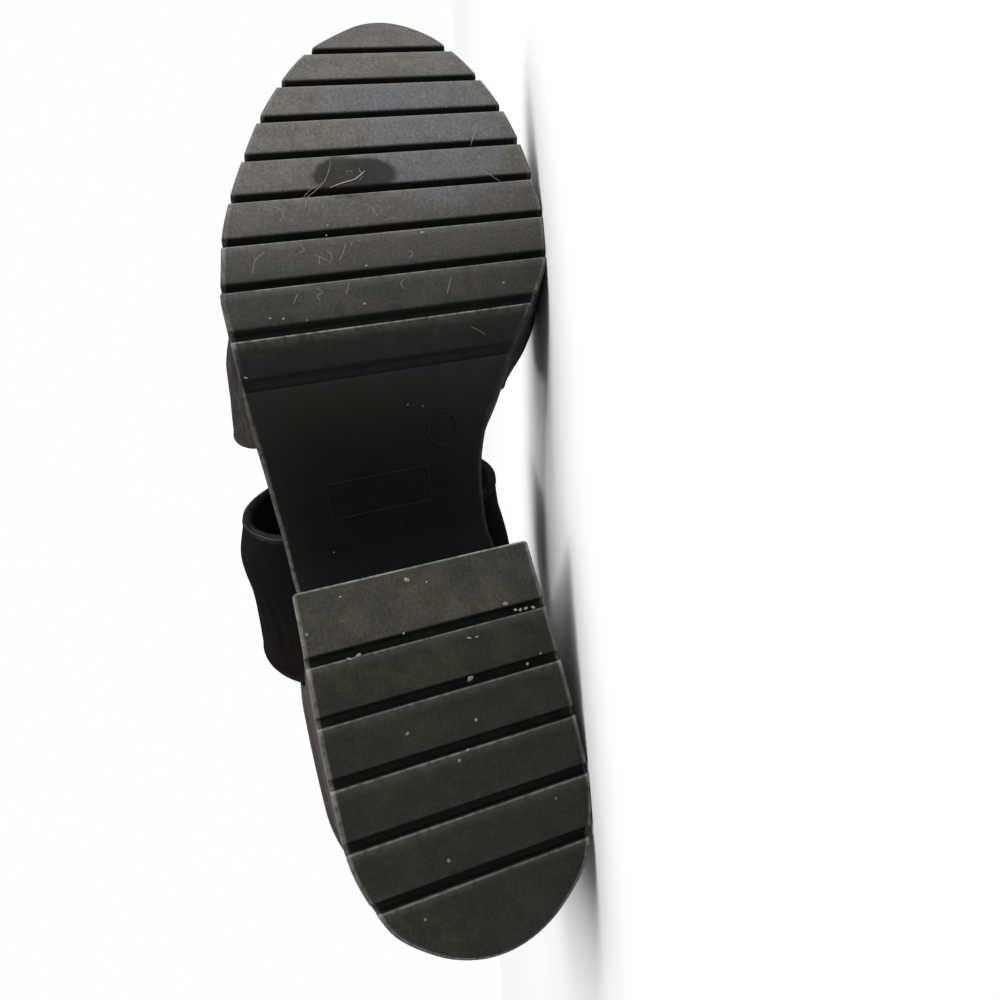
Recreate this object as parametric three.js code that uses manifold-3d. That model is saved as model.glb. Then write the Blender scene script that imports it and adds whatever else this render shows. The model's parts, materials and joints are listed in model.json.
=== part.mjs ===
// Platform sandal for the right foot, lying on its inner side as on a floor, in millimetres, +Z up.
// The shoe is modelled standing: +X towards the toe, +Y towards the inner (medial) side, z = 0 on the
// tread and x = 0 at the back of the heel's tread. The last function lays it down.
import * as THREE from 'three';
import { ConvexHull } from 'three/addons/math/ConvexHull.js';
import { mergeVertices } from 'three/addons/utils/BufferGeometryUtils.js';
import Module from 'manifold-3d';

const wasm = await Module();
wasm.setup();

// Driving dimensions of the sole
const HEEL_LENGTH = 86;
const WAIST_LENGTH = 65;
const FOREFOOT_LENGTH = 102;
const BALL_WIDTH = 86;
const HEEL_WIDTH = 56.5;
const PLATFORM_HEIGHT = 26;
const HEEL_HEIGHT = 71;
const WAIST_THICKNESS = 10;
const TOE_SPRING = 8.4;
const HEEL_FLARE = 8;
const HEEL_OVERHANG = 4;
const PLATFORM_FLARE = 2.5;
const BREAST_LEAN = 10;
const TREAD_BEVEL = 0.8;
const TOP_ROUNDING = 0.8;

// Driving dimensions of the tread's grooves
const GROOVE_DEPTH = 3;
const GROOVE_MOUTH = 2.4;
const GROOVE_FLOOR = 1.6;
const FOREFOOT_GROOVES = 8;
const TOE_LUG = 12.1;
const WAIST_GROOVE_SETBACK = 9.7;
const WAIST_GROOVE_DEPTH = 1.2;
const HEEL_GROOVES = 5;
const BREAST_LUG = 15.9;
const BACK_LUG = 17;

// Driving dimensions of the upper and the insole
const INSOLE_THICKNESS = 3;
const VAMP_WALL = 2;
const BAND_WALL = 2.4;
const COUNTER_WALL = 2.2;
const STRAP_INSET = 1;
const VAMP_LENGTH = 80;
const VAMP_HEIGHT = 52;
const VAMP_BULGE = 14;
const BAND_WIDTH = 44;
const BAND_HEIGHT = 66;
const BAND_BULGE = 20;
const BAND_SETBACK = 39;
const COUNTER_HEIGHT = 52;
const COUNTER_BULGE = 3.4;
const COUNTER_LAP = 14;
const COLLAR_LEAN = 4;
const CLEARANCE = 0.3;

// Places along the shoe
const BREAST = HEEL_LENGTH;
const TREAD_END = BREAST + WAIST_LENGTH;
const TOE = TREAD_END + FOREFOOT_LENGTH;

// Places are counted in zones: 0 is the back of the heel, 1 its breast, 2 the end of the tread, 3 the toe.
function place(zone) {
  const ends = [0, BREAST, TREAD_END, TOE];
  const i = Math.min(2, Math.max(0, Math.floor(zone)));
  return ends[i] + (zone - i) * (ends[i + 1] - ends[i]);
}

// Lower edge of the sole's side, as half widths each side of the heel's axis, in shares of BALL_WIDTH.
// They are joined as squares of the width about the middle, so that both ends close in a round.
const OUTLINE = [
  { at: 0, medial: 0, lateral: 0 },
  { at: 0.05, medial: 0.16, lateral: 0.16 },
  { at: 0.15, medial: 0.262, lateral: 0.262 },
  { at: 0.35, medial: 0.322, lateral: 0.322 },
  { at: 0.6, medial: 0.328, lateral: 0.328 },
  { at: 1, medial: 0.322, lateral: 0.326 },
  { at: 1.25, medial: 0.313, lateral: 0.353 },
  { at: 1.46, medial: 0.322, lateral: 0.357 },
  { at: 1.62, medial: 0.352, lateral: 0.357 },
  { at: 1.74, medial: 0.41, lateral: 0.358 },
  { at: 1.85, medial: 0.46, lateral: 0.355 },
  { at: 2, medial: 0.556, lateral: 0.355 },
  { at: 2.124, medial: 0.636, lateral: 0.356 },
  { at: 2.247, medial: 0.663, lateral: 0.33 },
  { at: 2.374, medial: 0.67, lateral: 0.285 },
  { at: 2.5, medial: 0.665, lateral: 0.224 },
  { at: 2.627, medial: 0.644, lateral: 0.155 },
  { at: 2.752, medial: 0.601, lateral: 0.069 },
  { at: 2.881, medial: 0.529, lateral: -0.049 },
  { at: 2.96, medial: 0.444, lateral: -0.177 },
  { at: 3, medial: 0.312, lateral: -0.312 },
];

// Side view of the sole. The footbed climbs from the platform (0) to the heel seat (1), and the waist's
// underside climbs from the tread (0) to the height that leaves the waist's thickness under the seat (1).
const PROFILE = [
  { at: -0.1, footbed: 1.004, underside: 0.967 },
  { at: 0, footbed: 1, underside: 0.965 },
  { at: 0.4, footbed: 0.978, underside: 0.945 },
  { at: 0.75, footbed: 0.93, underside: 0.92 },
  { at: 1, footbed: 0.855, underside: 0.895 },
  { at: 1.2, footbed: 0.755, underside: 0.83 },
  { at: 1.35, footbed: 0.63, underside: 0.73 },
  { at: 1.5, footbed: 0.45, underside: 0.58 },
  { at: 1.6, footbed: 0.3, underside: 0.465 },
  { at: 1.7, footbed: 0.17, underside: 0.33 },
  { at: 1.8, footbed: 0.085, underside: 0.2 },
  { at: 1.88, footbed: 0.05, underside: 0.11 },
  { at: 1.96, footbed: 0.025, underside: 0.035 },
  { at: 2, footbed: 0.018, underside: 0 },
];

// How far the side wall stands out at its top: shares of HEEL_FLARE behind and of PLATFORM_FLARE in front.
const FLARE = [
  { at: 0, heel: 1, platform: 0 },
  { at: 0.7, heel: 1, platform: 0 },
  { at: 1, heel: 0.55, platform: 0 },
  { at: 1.3, heel: 0.1, platform: 0.3 },
  { at: 1.7, heel: 0, platform: 0.6 },
  { at: 2.1, heel: 0, platform: 1 },
  { at: 2.5, heel: 0, platform: 1 },
  { at: 3, heel: 0, platform: 0.5 },
];

// Ribs of the vamp band, rear edge first, each an arch from the sole's inner edge to its outer edge.
// Feet and crown stand back from the band's front foot by shares of VAMP_LENGTH, the crown's height is a
// share of VAMP_HEIGHT over the platform, its lateral place a share of BALL_WIDTH, bulges of VAMP_BULGE.
const VAMP_RIBS = [
  { across: 0, medialFoot: 1, lateralFoot: 1.06, crown: 0.6, height: 1, sideways: -0.06, medial: 0.9,
    lateral: 1.15 },
  { across: 0.3, medialFoot: 0.72, lateralFoot: 0.84, crown: 0.5, height: 0.9, sideways: -0.1, medial: 0.75,
    lateral: 0.94 },
  { across: 0.65, medialFoot: 0.36, lateralFoot: 0.54, crown: 0.34, height: 0.76, sideways: -0.16, medial: 0.62,
    lateral: 0.62 },
  { across: 1, medialFoot: 0, lateralFoot: 0.27, crown: 0.17, height: 0.66, sideways: -0.2, medial: 0.6,
    lateral: 0.52 },
];

// Ribs of the instep band, rear edge first: feet back from the front foot in shares of BAND_WIDTH, the
// crown ahead of it in the same shares, its height over the heel seat's rise in shares of BAND_HEIGHT.
const BAND_RIBS = [
  { across: 0, foot: 1, crown: -0.05, height: 0.9, sideways: 0, medial: 0.5, lateral: 1.12 },
  { across: 0.35, foot: 0.65, crown: 0.27, height: 0.79, sideways: 0, medial: 0.85, lateral: 1.21 },
  { across: 0.7, foot: 0.3, crown: 0.59, height: 0.67, sideways: 0, medial: 1, lateral: 1.31 },
  { across: 1, foot: 0, crown: 0.9, height: 0.56, sideways: 0, medial: 1, lateral: 1.08 },
];

// Wall of the heel counter, from the footbed (0) to the collar (1): outward bulge in shares of COUNTER_BULGE.
const COUNTER_WALL_CURVE = [
  { up: 0, out: 0 },
  { up: 0.2, out: 0.95 },
  { up: 0.4, out: 1.05 },
  { up: 0.7, out: 0.25 },
  { up: 1, out: -1.1 },
];

// Collar line of the counter, from its front ends (0) to the back of the heel (1), in shares of COUNTER_HEIGHT.
const COLLAR = [
  { round: 0, height: 0.72 },
  { round: 0.45, height: 0.74 },
  { round: 0.78, height: 0.9 },
  { round: 0.94, height: 0.99 },
  { round: 1, height: 1 },
];

// Smooth curve through one column of a table, which never overshoots its rows and runs on straight past them.
function curve(xs, ys) {
  const last = xs.length - 1;
  const slopes = xs.slice(1).map((x, i) => (ys[i + 1] - ys[i]) / (x - xs[i]));
  const tangents = xs.map((x, i) => {
    if (i === 0) return slopes[0];
    if (i === last) return slopes[last - 1];
    const before = slopes[i - 1];
    const after = slopes[i];
    return before * after <= 0 ? 0 : (2 * before * after) / (before + after);
  });
  return (x) => {
    if (x <= xs[0]) return ys[0] + (x - xs[0]) * tangents[0];
    if (x >= xs[last]) return ys[last] + (x - xs[last]) * tangents[last];
    const i = xs.findIndex((value) => value > x) - 1;
    const span = xs[i + 1] - xs[i];
    const t = (x - xs[i]) / span;
    const rise = t * t * (3 - 2 * t);
    const start = t * (1 - t) * (1 - t);
    const end = t * t * (t - 1);
    return ys[i] + (ys[i + 1] - ys[i]) * rise + (start * tangents[i] + end * tangents[i + 1]) * span;
  };
}

function column(rows, from, name, placing = (value) => value) {
  return curve(rows.map((row) => placing(row[from])), rows.map((row) => row[name]));
}

// Plan of the sole
const middleShare = curve(OUTLINE.map((row) => place(row.at)), OUTLINE.map((row) => (row.medial - row.lateral) / 2));
const squareShare = curve(OUTLINE.map((row) => place(row.at)), OUTLINE.map((row) => (row.medial + row.lateral) ** 2 / 4));
const middle = (x) => BALL_WIDTH * middleShare(x);

// The heel zone takes its own width, and hands over to the ball's width along the waist.
function halfWidth(x) {
  const heelShare = Math.sqrt(squareShare(place(0.6)));
  const blend = THREE.MathUtils.smoothstep(x, BREAST, BREAST + WAIST_LENGTH / 2);
  const scale = THREE.MathUtils.lerp(HEEL_WIDTH / 2 / heelShare, BALL_WIDTH, blend);
  return scale * Math.sqrt(Math.max(0, squareShare(x)));
}

// Side view of the sole
const footbedShare = column(PROFILE, 'at', 'footbed', place);
const undersideShare = column(PROFILE, 'at', 'underside', place);

function toeSpring(x) {
  const start = TREAD_END + FOREFOOT_LENGTH * 0.13;
  const run = Math.max(0, x - start) / (TOE - start);
  return TOE_SPRING * run * run;
}

function footbed(x) {
  const climb = x < TREAD_END ? footbedShare(x) : 0.018;
  return PLATFORM_HEIGHT + climb * (HEEL_HEIGHT - PLATFORM_HEIGHT) + toeSpring(x) * 0.6;
}

const underside = (x) => undersideShare(x) * (HEEL_HEIGHT - WAIST_THICKNESS);
const heelFlare = column(FLARE, 'at', 'heel', place);
const platformFlare = column(FLARE, 'at', 'platform', place);

// Stations along the shoe, close together where the ends turn round and where the waist bends.
function stations() {
  const list = [];
  for (let i = 0; i <= 9; i += 1) list.push(0.5 * HEEL_LENGTH * (1 - Math.cos((i / 9) * Math.PI / 2)));
  for (let i = 1; i <= 4; i += 1) list.push(HEEL_LENGTH * (0.5 + i / 8));
  for (let i = 1; i <= 16; i += 1) list.push(BREAST + (WAIST_LENGTH * i) / 16);
  for (let i = 1; i <= 5; i += 1) list.push(TREAD_END + (FOREFOOT_LENGTH * 0.5 * i) / 5);
  for (let i = 1; i <= 12; i += 1) list.push(TOE - FOREFOOT_LENGTH * 0.5 * (1 - Math.sin((i / 12) * Math.PI / 2)));
  return list;
}

// Point of the sole's plan on one side (1 medial, -1 lateral), moved outwards square to the edge.
function edgePoint(x, side, outwards) {
  const step = 0.05;
  const low = Math.max(0, x - step);
  const high = Math.min(TOE, x + step);
  const y = (at) => middle(at) + side * halfWidth(at);
  const along = new THREE.Vector2(high - low, y(high) - y(low)).normalize();
  let normal = new THREE.Vector2(-side * along.y, side * along.x);
  if (x <= 0) normal = new THREE.Vector2(-1, 0);
  if (x >= TOE) normal = new THREE.Vector2(1, 0);
  return new THREE.Vector2(x + normal.x * outwards, y(x) + normal.y * outwards);
}

// Outward flare of the side wall at a share of its height, with less of it at the back of the heel.
function flareAt(x, share) {
  const behind = THREE.MathUtils.lerp(HEEL_OVERHANG, HEEL_FLARE, THREE.MathUtils.smoothstep(x, 0, HEEL_LENGTH * 0.25));
  return share * (behind * heelFlare(x) + PLATFORM_FLARE * platformFlare(x));
}

// Closed body through a row of rings, each with a near and a far side of as many points.
function loft(rings) {
  const faces = [];
  const quad = (a, b, c, d) => faces.push(a, b, c, a, c, d);
  for (let i = 0; i < rings.length - 1; i += 1) {
    const here = rings[i];
    const next = rings[i + 1];
    const top = here.near.length - 1;
    for (let j = 0; j < top; j += 1) {
      quad(here.near[j], next.near[j], next.near[j + 1], here.near[j + 1]);
      quad(here.far[j], here.far[j + 1], next.far[j + 1], next.far[j]);
    }
    quad(here.near[0], here.far[0], next.far[0], next.near[0]);
    quad(here.near[top], next.near[top], next.far[top], here.far[top]);
  }
  const first = rings[0];
  const last = rings[rings.length - 1];
  for (let j = 0; j < first.near.length - 1; j += 1) {
    quad(first.near[j], first.near[j + 1], first.far[j + 1], first.far[j]);
    quad(last.near[j], last.far[j], last.far[j + 1], last.near[j + 1]);
  }
  return welded(new THREE.BufferGeometry().setFromPoints(faces));
}

// One body with shared vertices, no collapsed triangles and its faces turned outwards.
function welded(loose) {
  const geometry = mergeVertices(loose, 1e-3);
  const index = geometry.index.array;
  const kept = [];
  for (let i = 0; i < index.length; i += 3) {
    const [a, b, c] = [index[i], index[i + 1], index[i + 2]];
    if (a !== b && b !== c && c !== a) kept.push(a, b, c);
  }
  const points = geometry.attributes.position;
  const corner = (i) => new THREE.Vector3().fromBufferAttribute(points, i);
  let volume = 0;
  for (let i = 0; i < kept.length; i += 3) {
    volume += corner(kept[i]).dot(corner(kept[i + 1]).cross(corner(kept[i + 2])));
  }
  geometry.setIndex(volume < 0 ? kept.reverse() : kept);
  return geometry;
}

function toSolid(geometry) {
  return new wasm.Manifold(new wasm.Mesh({
    numProp: 3,
    vertProperties: new Float32Array(geometry.attributes.position.array),
    triVerts: new Uint32Array(geometry.index.array),
  }));
}

function toGeometry(solid) {
  const mesh = solid.getMesh();
  const geometry = new THREE.BufferGeometry();
  geometry.setAttribute('position', new THREE.BufferAttribute(new Float32Array(mesh.vertProperties), 3));
  geometry.setIndex(new THREE.BufferAttribute(new Uint32Array(mesh.triVerts), 1));
  return geometry;
}

// Prism across the shoe from an outline in side view.
function crossPrism(outline, width) {
  const shape = new THREE.Shape(outline.map(([x, z]) => new THREE.Vector2(x, z)));
  const geometry = new THREE.ExtrudeGeometry(shape, { depth: width, bevelEnabled: false });
  geometry.rotateX(Math.PI / 2);
  geometry.translate(0, width / 2, 0);
  geometry.deleteAttribute('normal');
  geometry.deleteAttribute('uv');
  return toSolid(welded(geometry));
}

// Sole as one block from tread to footbed, before the arch and the grooves are cut
function soleBlock() {
  const levels = [
    { up: 0, out: -TREAD_BEVEL, lift: 0 },
    { up: 0, out: 0, lift: TREAD_BEVEL },
    { up: 0.34, out: 0, lift: 0 },
    { up: 0.68, out: 0, lift: 0 },
    { up: 1, out: 0, lift: -TOP_ROUNDING },
    { up: 1, out: -TOP_ROUNDING, lift: 0 },
  ];
  const wall = (x, side) => levels.map(({ up, out, lift }) => {
    const plan = edgePoint(x, side, flareAt(x, up) + out);
    const floor = toeSpring(plan.x);
    return new THREE.Vector3(plan.x, plan.y, floor + up * (footbed(plan.x) - floor) + lift);
  });
  return toSolid(loft(stations().map((x) => ({ near: wall(x, 1), far: wall(x, -1) }))));
}

// Space under the waist, from the heel's leaning breast to the end of the tread
function archSpace() {
  const below = -5;
  const back = BREAST - BREAST_LEAN;
  const ceiling = [];
  for (let i = 0; i <= 24; i += 1) {
    const x = THREE.MathUtils.lerp(TREAD_END, back + WAIST_THICKNESS * 0.4, i / 24);
    ceiling.push([x, underside(x)]);
  }
  const corner = [back, underside(back) - WAIST_THICKNESS * 0.4];
  const lean = BREAST_LEAN / corner[1];
  return crossPrism([[TREAD_END, below], ...ceiling, corner, [BREAST - lean * below, below]], 2 * BALL_WIDTH);
}

// Groove across the tread at x, square to the tread's slope
function groove(x, height, slope, depth) {
  const mouth = GROOVE_MOUTH / 2;
  const floor = GROOVE_FLOOR / 2;
  const over = (mouth - floor) / depth;
  const section = [[-floor, depth], [-mouth - over, -1], [mouth + over, -1], [floor, depth]];
  const placed = section.map(([along, up]) => {
    const turned = new THREE.Vector2(along, up).rotateAround(new THREE.Vector2(), Math.atan(slope));
    return [x + turned.x, height + turned.y];
  });
  return crossPrism(placed, 2 * BALL_WIDTH);
}

function treadGrooves() {
  const cuts = [];
  const pitch = (FOREFOOT_LENGTH - TOE_LUG) / (FOREFOOT_GROOVES - 1);
  for (let i = 0; i < FOREFOOT_GROOVES; i += 1) {
    const x = TREAD_END + i * pitch;
    const slope = (toeSpring(x + 1) - toeSpring(x - 1)) / 2;
    cuts.push(groove(x, toeSpring(x), slope, GROOVE_DEPTH));
  }
  const waist = TREAD_END - WAIST_GROOVE_SETBACK;
  const waistSlope = (underside(waist + 1) - underside(waist - 1)) / 2;
  cuts.push(groove(waist, underside(waist), waistSlope, WAIST_GROOVE_DEPTH));
  const heelPitch = (HEEL_LENGTH - BREAST_LUG - BACK_LUG) / (HEEL_GROOVES - 1);
  for (let i = 0; i < HEEL_GROOVES; i += 1) {
    cuts.push(groove(BACK_LUG + i * heelPitch, 0, 0, GROOVE_DEPTH));
  }
  return cuts;
}

function unitSole() {
  let sole = soleBlock().subtract(archSpace());
  for (const cut of treadGrooves()) sole = sole.subtract(cut);
  return toGeometry(sole);
}

// Insole on the footbed, inside the feet of the straps
function insole() {
  const inset = STRAP_INSET + BAND_WALL + 2 * CLEARANCE;
  const wall = (x, side) => [0, INSOLE_THICKNESS].map((up) => {
    const plan = edgePoint(x, side, flareAt(x, 1) - inset);
    return new THREE.Vector3(plan.x, plan.y, footbed(plan.x) + CLEARANCE + up);
  });
  return loft(stations().map((x) => ({ near: wall(x, 1), far: wall(x, -1) })));
}

// Foot of a strap on the sole's top edge
function strapFoot(x, side) {
  const plan = edgePoint(x, side, flareAt(x, 1) - STRAP_INSET);
  return new THREE.Vector3(plan.x, plan.y, footbed(plan.x) + CLEARANCE);
}

// Arch from the medial foot (t = 0) over the crown (t = 0.5) to the lateral foot (t = 1). It follows half a
// turn of a sine and cosine, swells by a double sine above each foot, and leans ever more towards the crown.
function archPoint(rib, t) {
  const angle = Math.PI * t;
  const medial = t < 0.5;
  const foot = medial ? rib.medialFoot : rib.lateralFoot;
  const swell = medial ? rib.medialBulge : -rib.lateralBulge;
  const up = Math.sin(angle);
  const y = rib.crown.y + (foot.y - rib.crown.y) * Math.abs(Math.cos(angle)) + swell * Math.abs(Math.sin(2 * angle));
  const x = foot.x + (rib.crown.x - foot.x) * up ** 1.35;
  return new THREE.Vector3(x, y, foot.z + (rib.crown.z - foot.z) * up);
}

// Hollow strap: rows across it from rear to front, outer face on the ribs, inner face one wall inside.
// With a margin, its outer face stands out by that much, its feet run down as far, and it is a little wider.
function strap(ribAt, wall, margin = 0, across = 12, along = 40) {
  const surface = (u, t) => archPoint(ribAt(u), t);
  const normal = (u, t) => {
    const step = 0.01;
    const du = surface(u + step, t).sub(surface(u - step, t));
    const dt = surface(u, Math.min(1, t + step)).sub(surface(u, Math.max(0, t - step)));
    return dt.cross(du).normalize();
  };
  const lip = margin > 0 ? 2 * CLEARANCE / BAND_WIDTH : 0;
  const inward = normal(0.5, 0.5).z > 0 ? -1 : 1;
  const rings = [];
  for (let j = 0; j <= along; j += 1) {
    const ring = { near: [], far: [] };
    for (let i = 0; i <= across; i += 1) {
      const u = THREE.MathUtils.lerp(-lip, 1 + lip, i / across);
      const t = j / along;
      const outer = surface(u, t);
      const way = normal(u, t).multiplyScalar(inward);
      if (j === 0 || j === along) way.setZ(0).normalize();
      ring.near.push(outer.clone().addScaledVector(way, -margin));
      ring.far.push(outer.clone().addScaledVector(way, wall));
    }
    rings.push(ring);
  }
  if (margin > 0) {
    const sunk = (list) => list.map((point) => point.clone().setZ(point.z - margin));
    const under = (ring) => ({ near: sunk(ring.near), far: sunk(ring.far) });
    rings.unshift(under(rings[0]));
    rings.push(under(rings[rings.length - 1]));
  }
  return loft(rings);
}

function vampRib(u) {
  const read = (name) => column(VAMP_RIBS, 'across', name)(u);
  const front = TREAD_END + FOREFOOT_LENGTH * 0.66;
  return {
    medialFoot: strapFoot(front - VAMP_LENGTH * read('medialFoot'), 1),
    lateralFoot: strapFoot(front - VAMP_LENGTH * read('lateralFoot'), -1),
    crown: new THREE.Vector3(
      front - VAMP_LENGTH * read('crown'),
      -BALL_WIDTH * read('sideways'),
      PLATFORM_HEIGHT + VAMP_HEIGHT * read('height'),
    ),
    medialBulge: VAMP_BULGE * read('medial'),
    lateralBulge: VAMP_BULGE * read('lateral'),
  };
}

function bandRib(u) {
  const read = (name) => column(BAND_RIBS, 'across', name)(u);
  const front = TREAD_END - BAND_SETBACK;
  const foot = front - BAND_WIDTH * read('foot');
  return {
    medialFoot: strapFoot(foot, 1),
    lateralFoot: strapFoot(foot, -1),
    crown: new THREE.Vector3(
      front + BAND_WIDTH * read('crown'),
      -BALL_WIDTH * read('sideways'),
      HEEL_HEIGHT + BAND_HEIGHT * read('height'),
    ),
    medialBulge: BAND_BULGE * read('medial'),
    lateralBulge: BAND_BULGE * read('lateral'),
  };
}

// Heel counter: a wall round the back of the heel, whose front ends lie under the instep band. Towards the
// back its collar leans in over the heel.
function heelCounter() {
  const front = TREAD_END - BAND_SETBACK - BAND_WIDTH + COUNTER_LAP;
  const out = column(COUNTER_WALL_CURVE, 'up', 'out');
  const collar = column(COLLAR, 'round', 'height');
  const around = 34;
  const rows = 9;
  const rings = [];
  for (let i = 0; i <= around; i += 1) {
    const turn = Math.abs(1 - (2 * i) / around);
    const side = i < around / 2 ? 1 : -1;
    const x = front * (1 - Math.cos((turn * Math.PI) / 2));
    const ring = { near: [], far: [] };
    for (let j = 0; j <= rows; j += 1) {
      const up = j / rows;
      const lean = COLLAR_LEAN * (up * (1 - turn)) ** 2;
      const offset = flareAt(x, 1) - STRAP_INSET + COUNTER_BULGE * out(up) - lean;
      const height = up * COUNTER_HEIGHT * collar(1 - turn);
      for (const [list, wall] of [[ring.near, 0], [ring.far, COUNTER_WALL]]) {
        const plan = edgePoint(x, side, offset - wall);
        list.push(new THREE.Vector3(plan.x, plan.y, footbed(plan.x) + CLEARANCE + height));
      }
    }
    rings.push(ring);
  }
  const bandSide = toSolid(strap(bandRib, BAND_WALL + CLEARANCE, BAND_BULGE));
  return toGeometry(toSolid(loft(rings)).subtract(bandSide));
}

function piece(name, geometry, colour, roughness) {
  const material = new THREE.MeshStandardMaterial({ color: colour, roughness, metalness: 0 });
  const mesh = new THREE.Mesh(geometry, material);
  mesh.name = name;
  return mesh;
}

const shoe = new THREE.Group();
shoe.add(
  piece('unit_sole', unitSole(), 0x3a3937, 0.55),
  piece('insole', insole(), 0x1d1b1a, 0.7),
  piece('vamp_band', toGeometry(toSolid(strap(vampRib, VAMP_WALL))), 0x1c1c1e, 0.5),
  piece('instep_band', toGeometry(toSolid(strap(bandRib, BAND_WALL))), 0x171717, 0.85),
  piece('heel_counter', heelCounter(), 0x231b19, 0.35),
);

// Volume-weighted centre of the shoe's pieces
function balancePoint(group) {
  const sum = new THREE.Vector3();
  let total = 0;
  group.traverse((node) => {
    if (!node.isMesh) return;
    const points = node.geometry.attributes.position;
    const index = node.geometry.index.array;
    for (let i = 0; i < index.length; i += 3) {
      const [a, b, c] = [0, 1, 2].map((k) => new THREE.Vector3().fromBufferAttribute(points, index[i + k]));
      const volume = a.dot(b.clone().cross(c)) / 6;
      sum.addScaledVector(a.add(b).add(c), volume / 4);
      total += volume;
    }
  });
  return sum.divideScalar(total);
}

// Direction, in the shoe's own axes, that points at the floor once the shoe has settled on its medial side:
// from straight sideways it turns to the hull face under the balance point until that face is its own.
function floorDirection(group, balance) {
  const points = [];
  group.traverse((node) => {
    if (!node.isMesh) return;
    const list = node.geometry.attributes.position;
    for (let i = 0; i < list.count; i += 1) points.push(new THREE.Vector3().fromBufferAttribute(list, i));
  });
  const hull = new ConvexHull().setFromPoints(points);
  let down = new THREE.Vector3(0, 1, 0);
  for (let turn = 0; turn < 20; turn += 1) {
    let best = null;
    let reach = Infinity;
    for (const face of hull.faces) {
      const speed = face.normal.dot(down);
      const distance = (face.constant - face.normal.dot(balance)) / speed;
      if (speed > 0 && distance < reach) {
        reach = distance;
        best = face;
      }
    }
    if (best.normal.distanceTo(down) < 1e-6) break;
    down = best.normal.clone();
  }
  return down;
}

// Shoe laid down with +X still along it, and the origin under the middle of its box on the floor
function laidDown(group) {
  const down = floorDirection(group, balancePoint(group));
  const up = down.negate();
  const along = new THREE.Vector3(1, 0, 0).addScaledVector(up, -up.x).normalize();
  const across = up.clone().cross(along);
  const turn = new THREE.Matrix4().makeBasis(along, across, up).transpose();
  group.quaternion.setFromRotationMatrix(turn);
  group.updateMatrixWorld(true);
  const box = new THREE.Box3().setFromObject(group, true);
  const centre = box.getCenter(new THREE.Vector3());
  group.position.set(-centre.x, -centre.y, -box.min.z);
  group.updateMatrixWorld(true);
  return group;
}

export default laidDown(shoe);
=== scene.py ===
import json

import bmesh
import bpy
import numpy as np
from mathutils import Matrix, Vector


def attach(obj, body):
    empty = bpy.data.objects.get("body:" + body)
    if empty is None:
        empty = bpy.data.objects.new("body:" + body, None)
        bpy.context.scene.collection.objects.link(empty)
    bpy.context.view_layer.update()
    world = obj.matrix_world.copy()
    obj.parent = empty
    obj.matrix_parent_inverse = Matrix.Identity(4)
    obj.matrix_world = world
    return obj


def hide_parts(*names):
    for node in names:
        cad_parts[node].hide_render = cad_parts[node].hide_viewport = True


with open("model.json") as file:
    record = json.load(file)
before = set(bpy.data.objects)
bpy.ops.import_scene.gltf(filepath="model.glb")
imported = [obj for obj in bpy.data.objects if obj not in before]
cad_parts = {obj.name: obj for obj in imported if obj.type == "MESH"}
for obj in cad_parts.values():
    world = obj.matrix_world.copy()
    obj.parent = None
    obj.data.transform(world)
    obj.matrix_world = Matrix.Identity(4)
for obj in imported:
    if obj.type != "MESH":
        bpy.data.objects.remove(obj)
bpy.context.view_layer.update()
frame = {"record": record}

# Sizes of the sole
BREAST = 86.0
TREAD_END = 151.0
TOE = 253.0
BALL_WIDTH = 86.0
HEEL_WIDTH = 56.5
PLATFORM = 26.0
HEEL_HEIGHT = 71.0
WAIST_THICKNESS = 10.0
FOREFOOT = TOE - TREAD_END
LEAN = 10.0         # how far the heel's front leans back on its way up to the waist
WAIST_START = BREAST - LEAN
FILLET = 5.0        # rounding between the heel's front and the waist
GROOVES = np.concatenate([151 + 12.8429 * np.arange(8), 17 + 13.275 * np.arange(5)])
WAIST_GROOVE = 141.3
ZONE_ENDS = np.array([0.0, BREAST, TREAD_END, TOE])
LIP = 0.5           # rounding of the tread's edges
CORNER = 1.0        # rounding of the breast's upright corners
SHOULDER = 0.8      # rounding of the sole's top edge

# Sizes of the uppers, and how far they stand above the sole
GAP = 0.3
FOOT_INSET = 1.0    # of the straps' and the counter's feet from the sole's top edge
VAMP_LENGTH, VAMP_HEIGHT, VAMP_BULGE, VAMP_WALL, VAMP_REACH = 80, 52, 14, 2.0, 0.66
BAND_WIDTH, BAND_HEIGHT, BAND_BULGE, BAND_WALL, BAND_SETBACK = 44, 66, 20, 2.4, 39
COUNTER_LENGTH, COUNTER_HEIGHT, COUNTER_SWELL, COUNTER_WALL = 82, 52, 3.4, 2.2
COLLAR_LEAN = 4     # of the counter's collar over the heel
STITCH = 2.6        # length of a stitch


def place(zone):
    """Place along the shoe of a zone count: 0 heel back, 1 breast, 2 end of the tread, 3 toe, straight between."""
    zone = np.asarray(zone, float)
    i = np.clip(np.floor(zone), 0, 2).astype(int)
    return ZONE_ENDS[i] + (zone - i) * (ZONE_ENDS[i + 1] - ZONE_ENDS[i])


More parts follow.
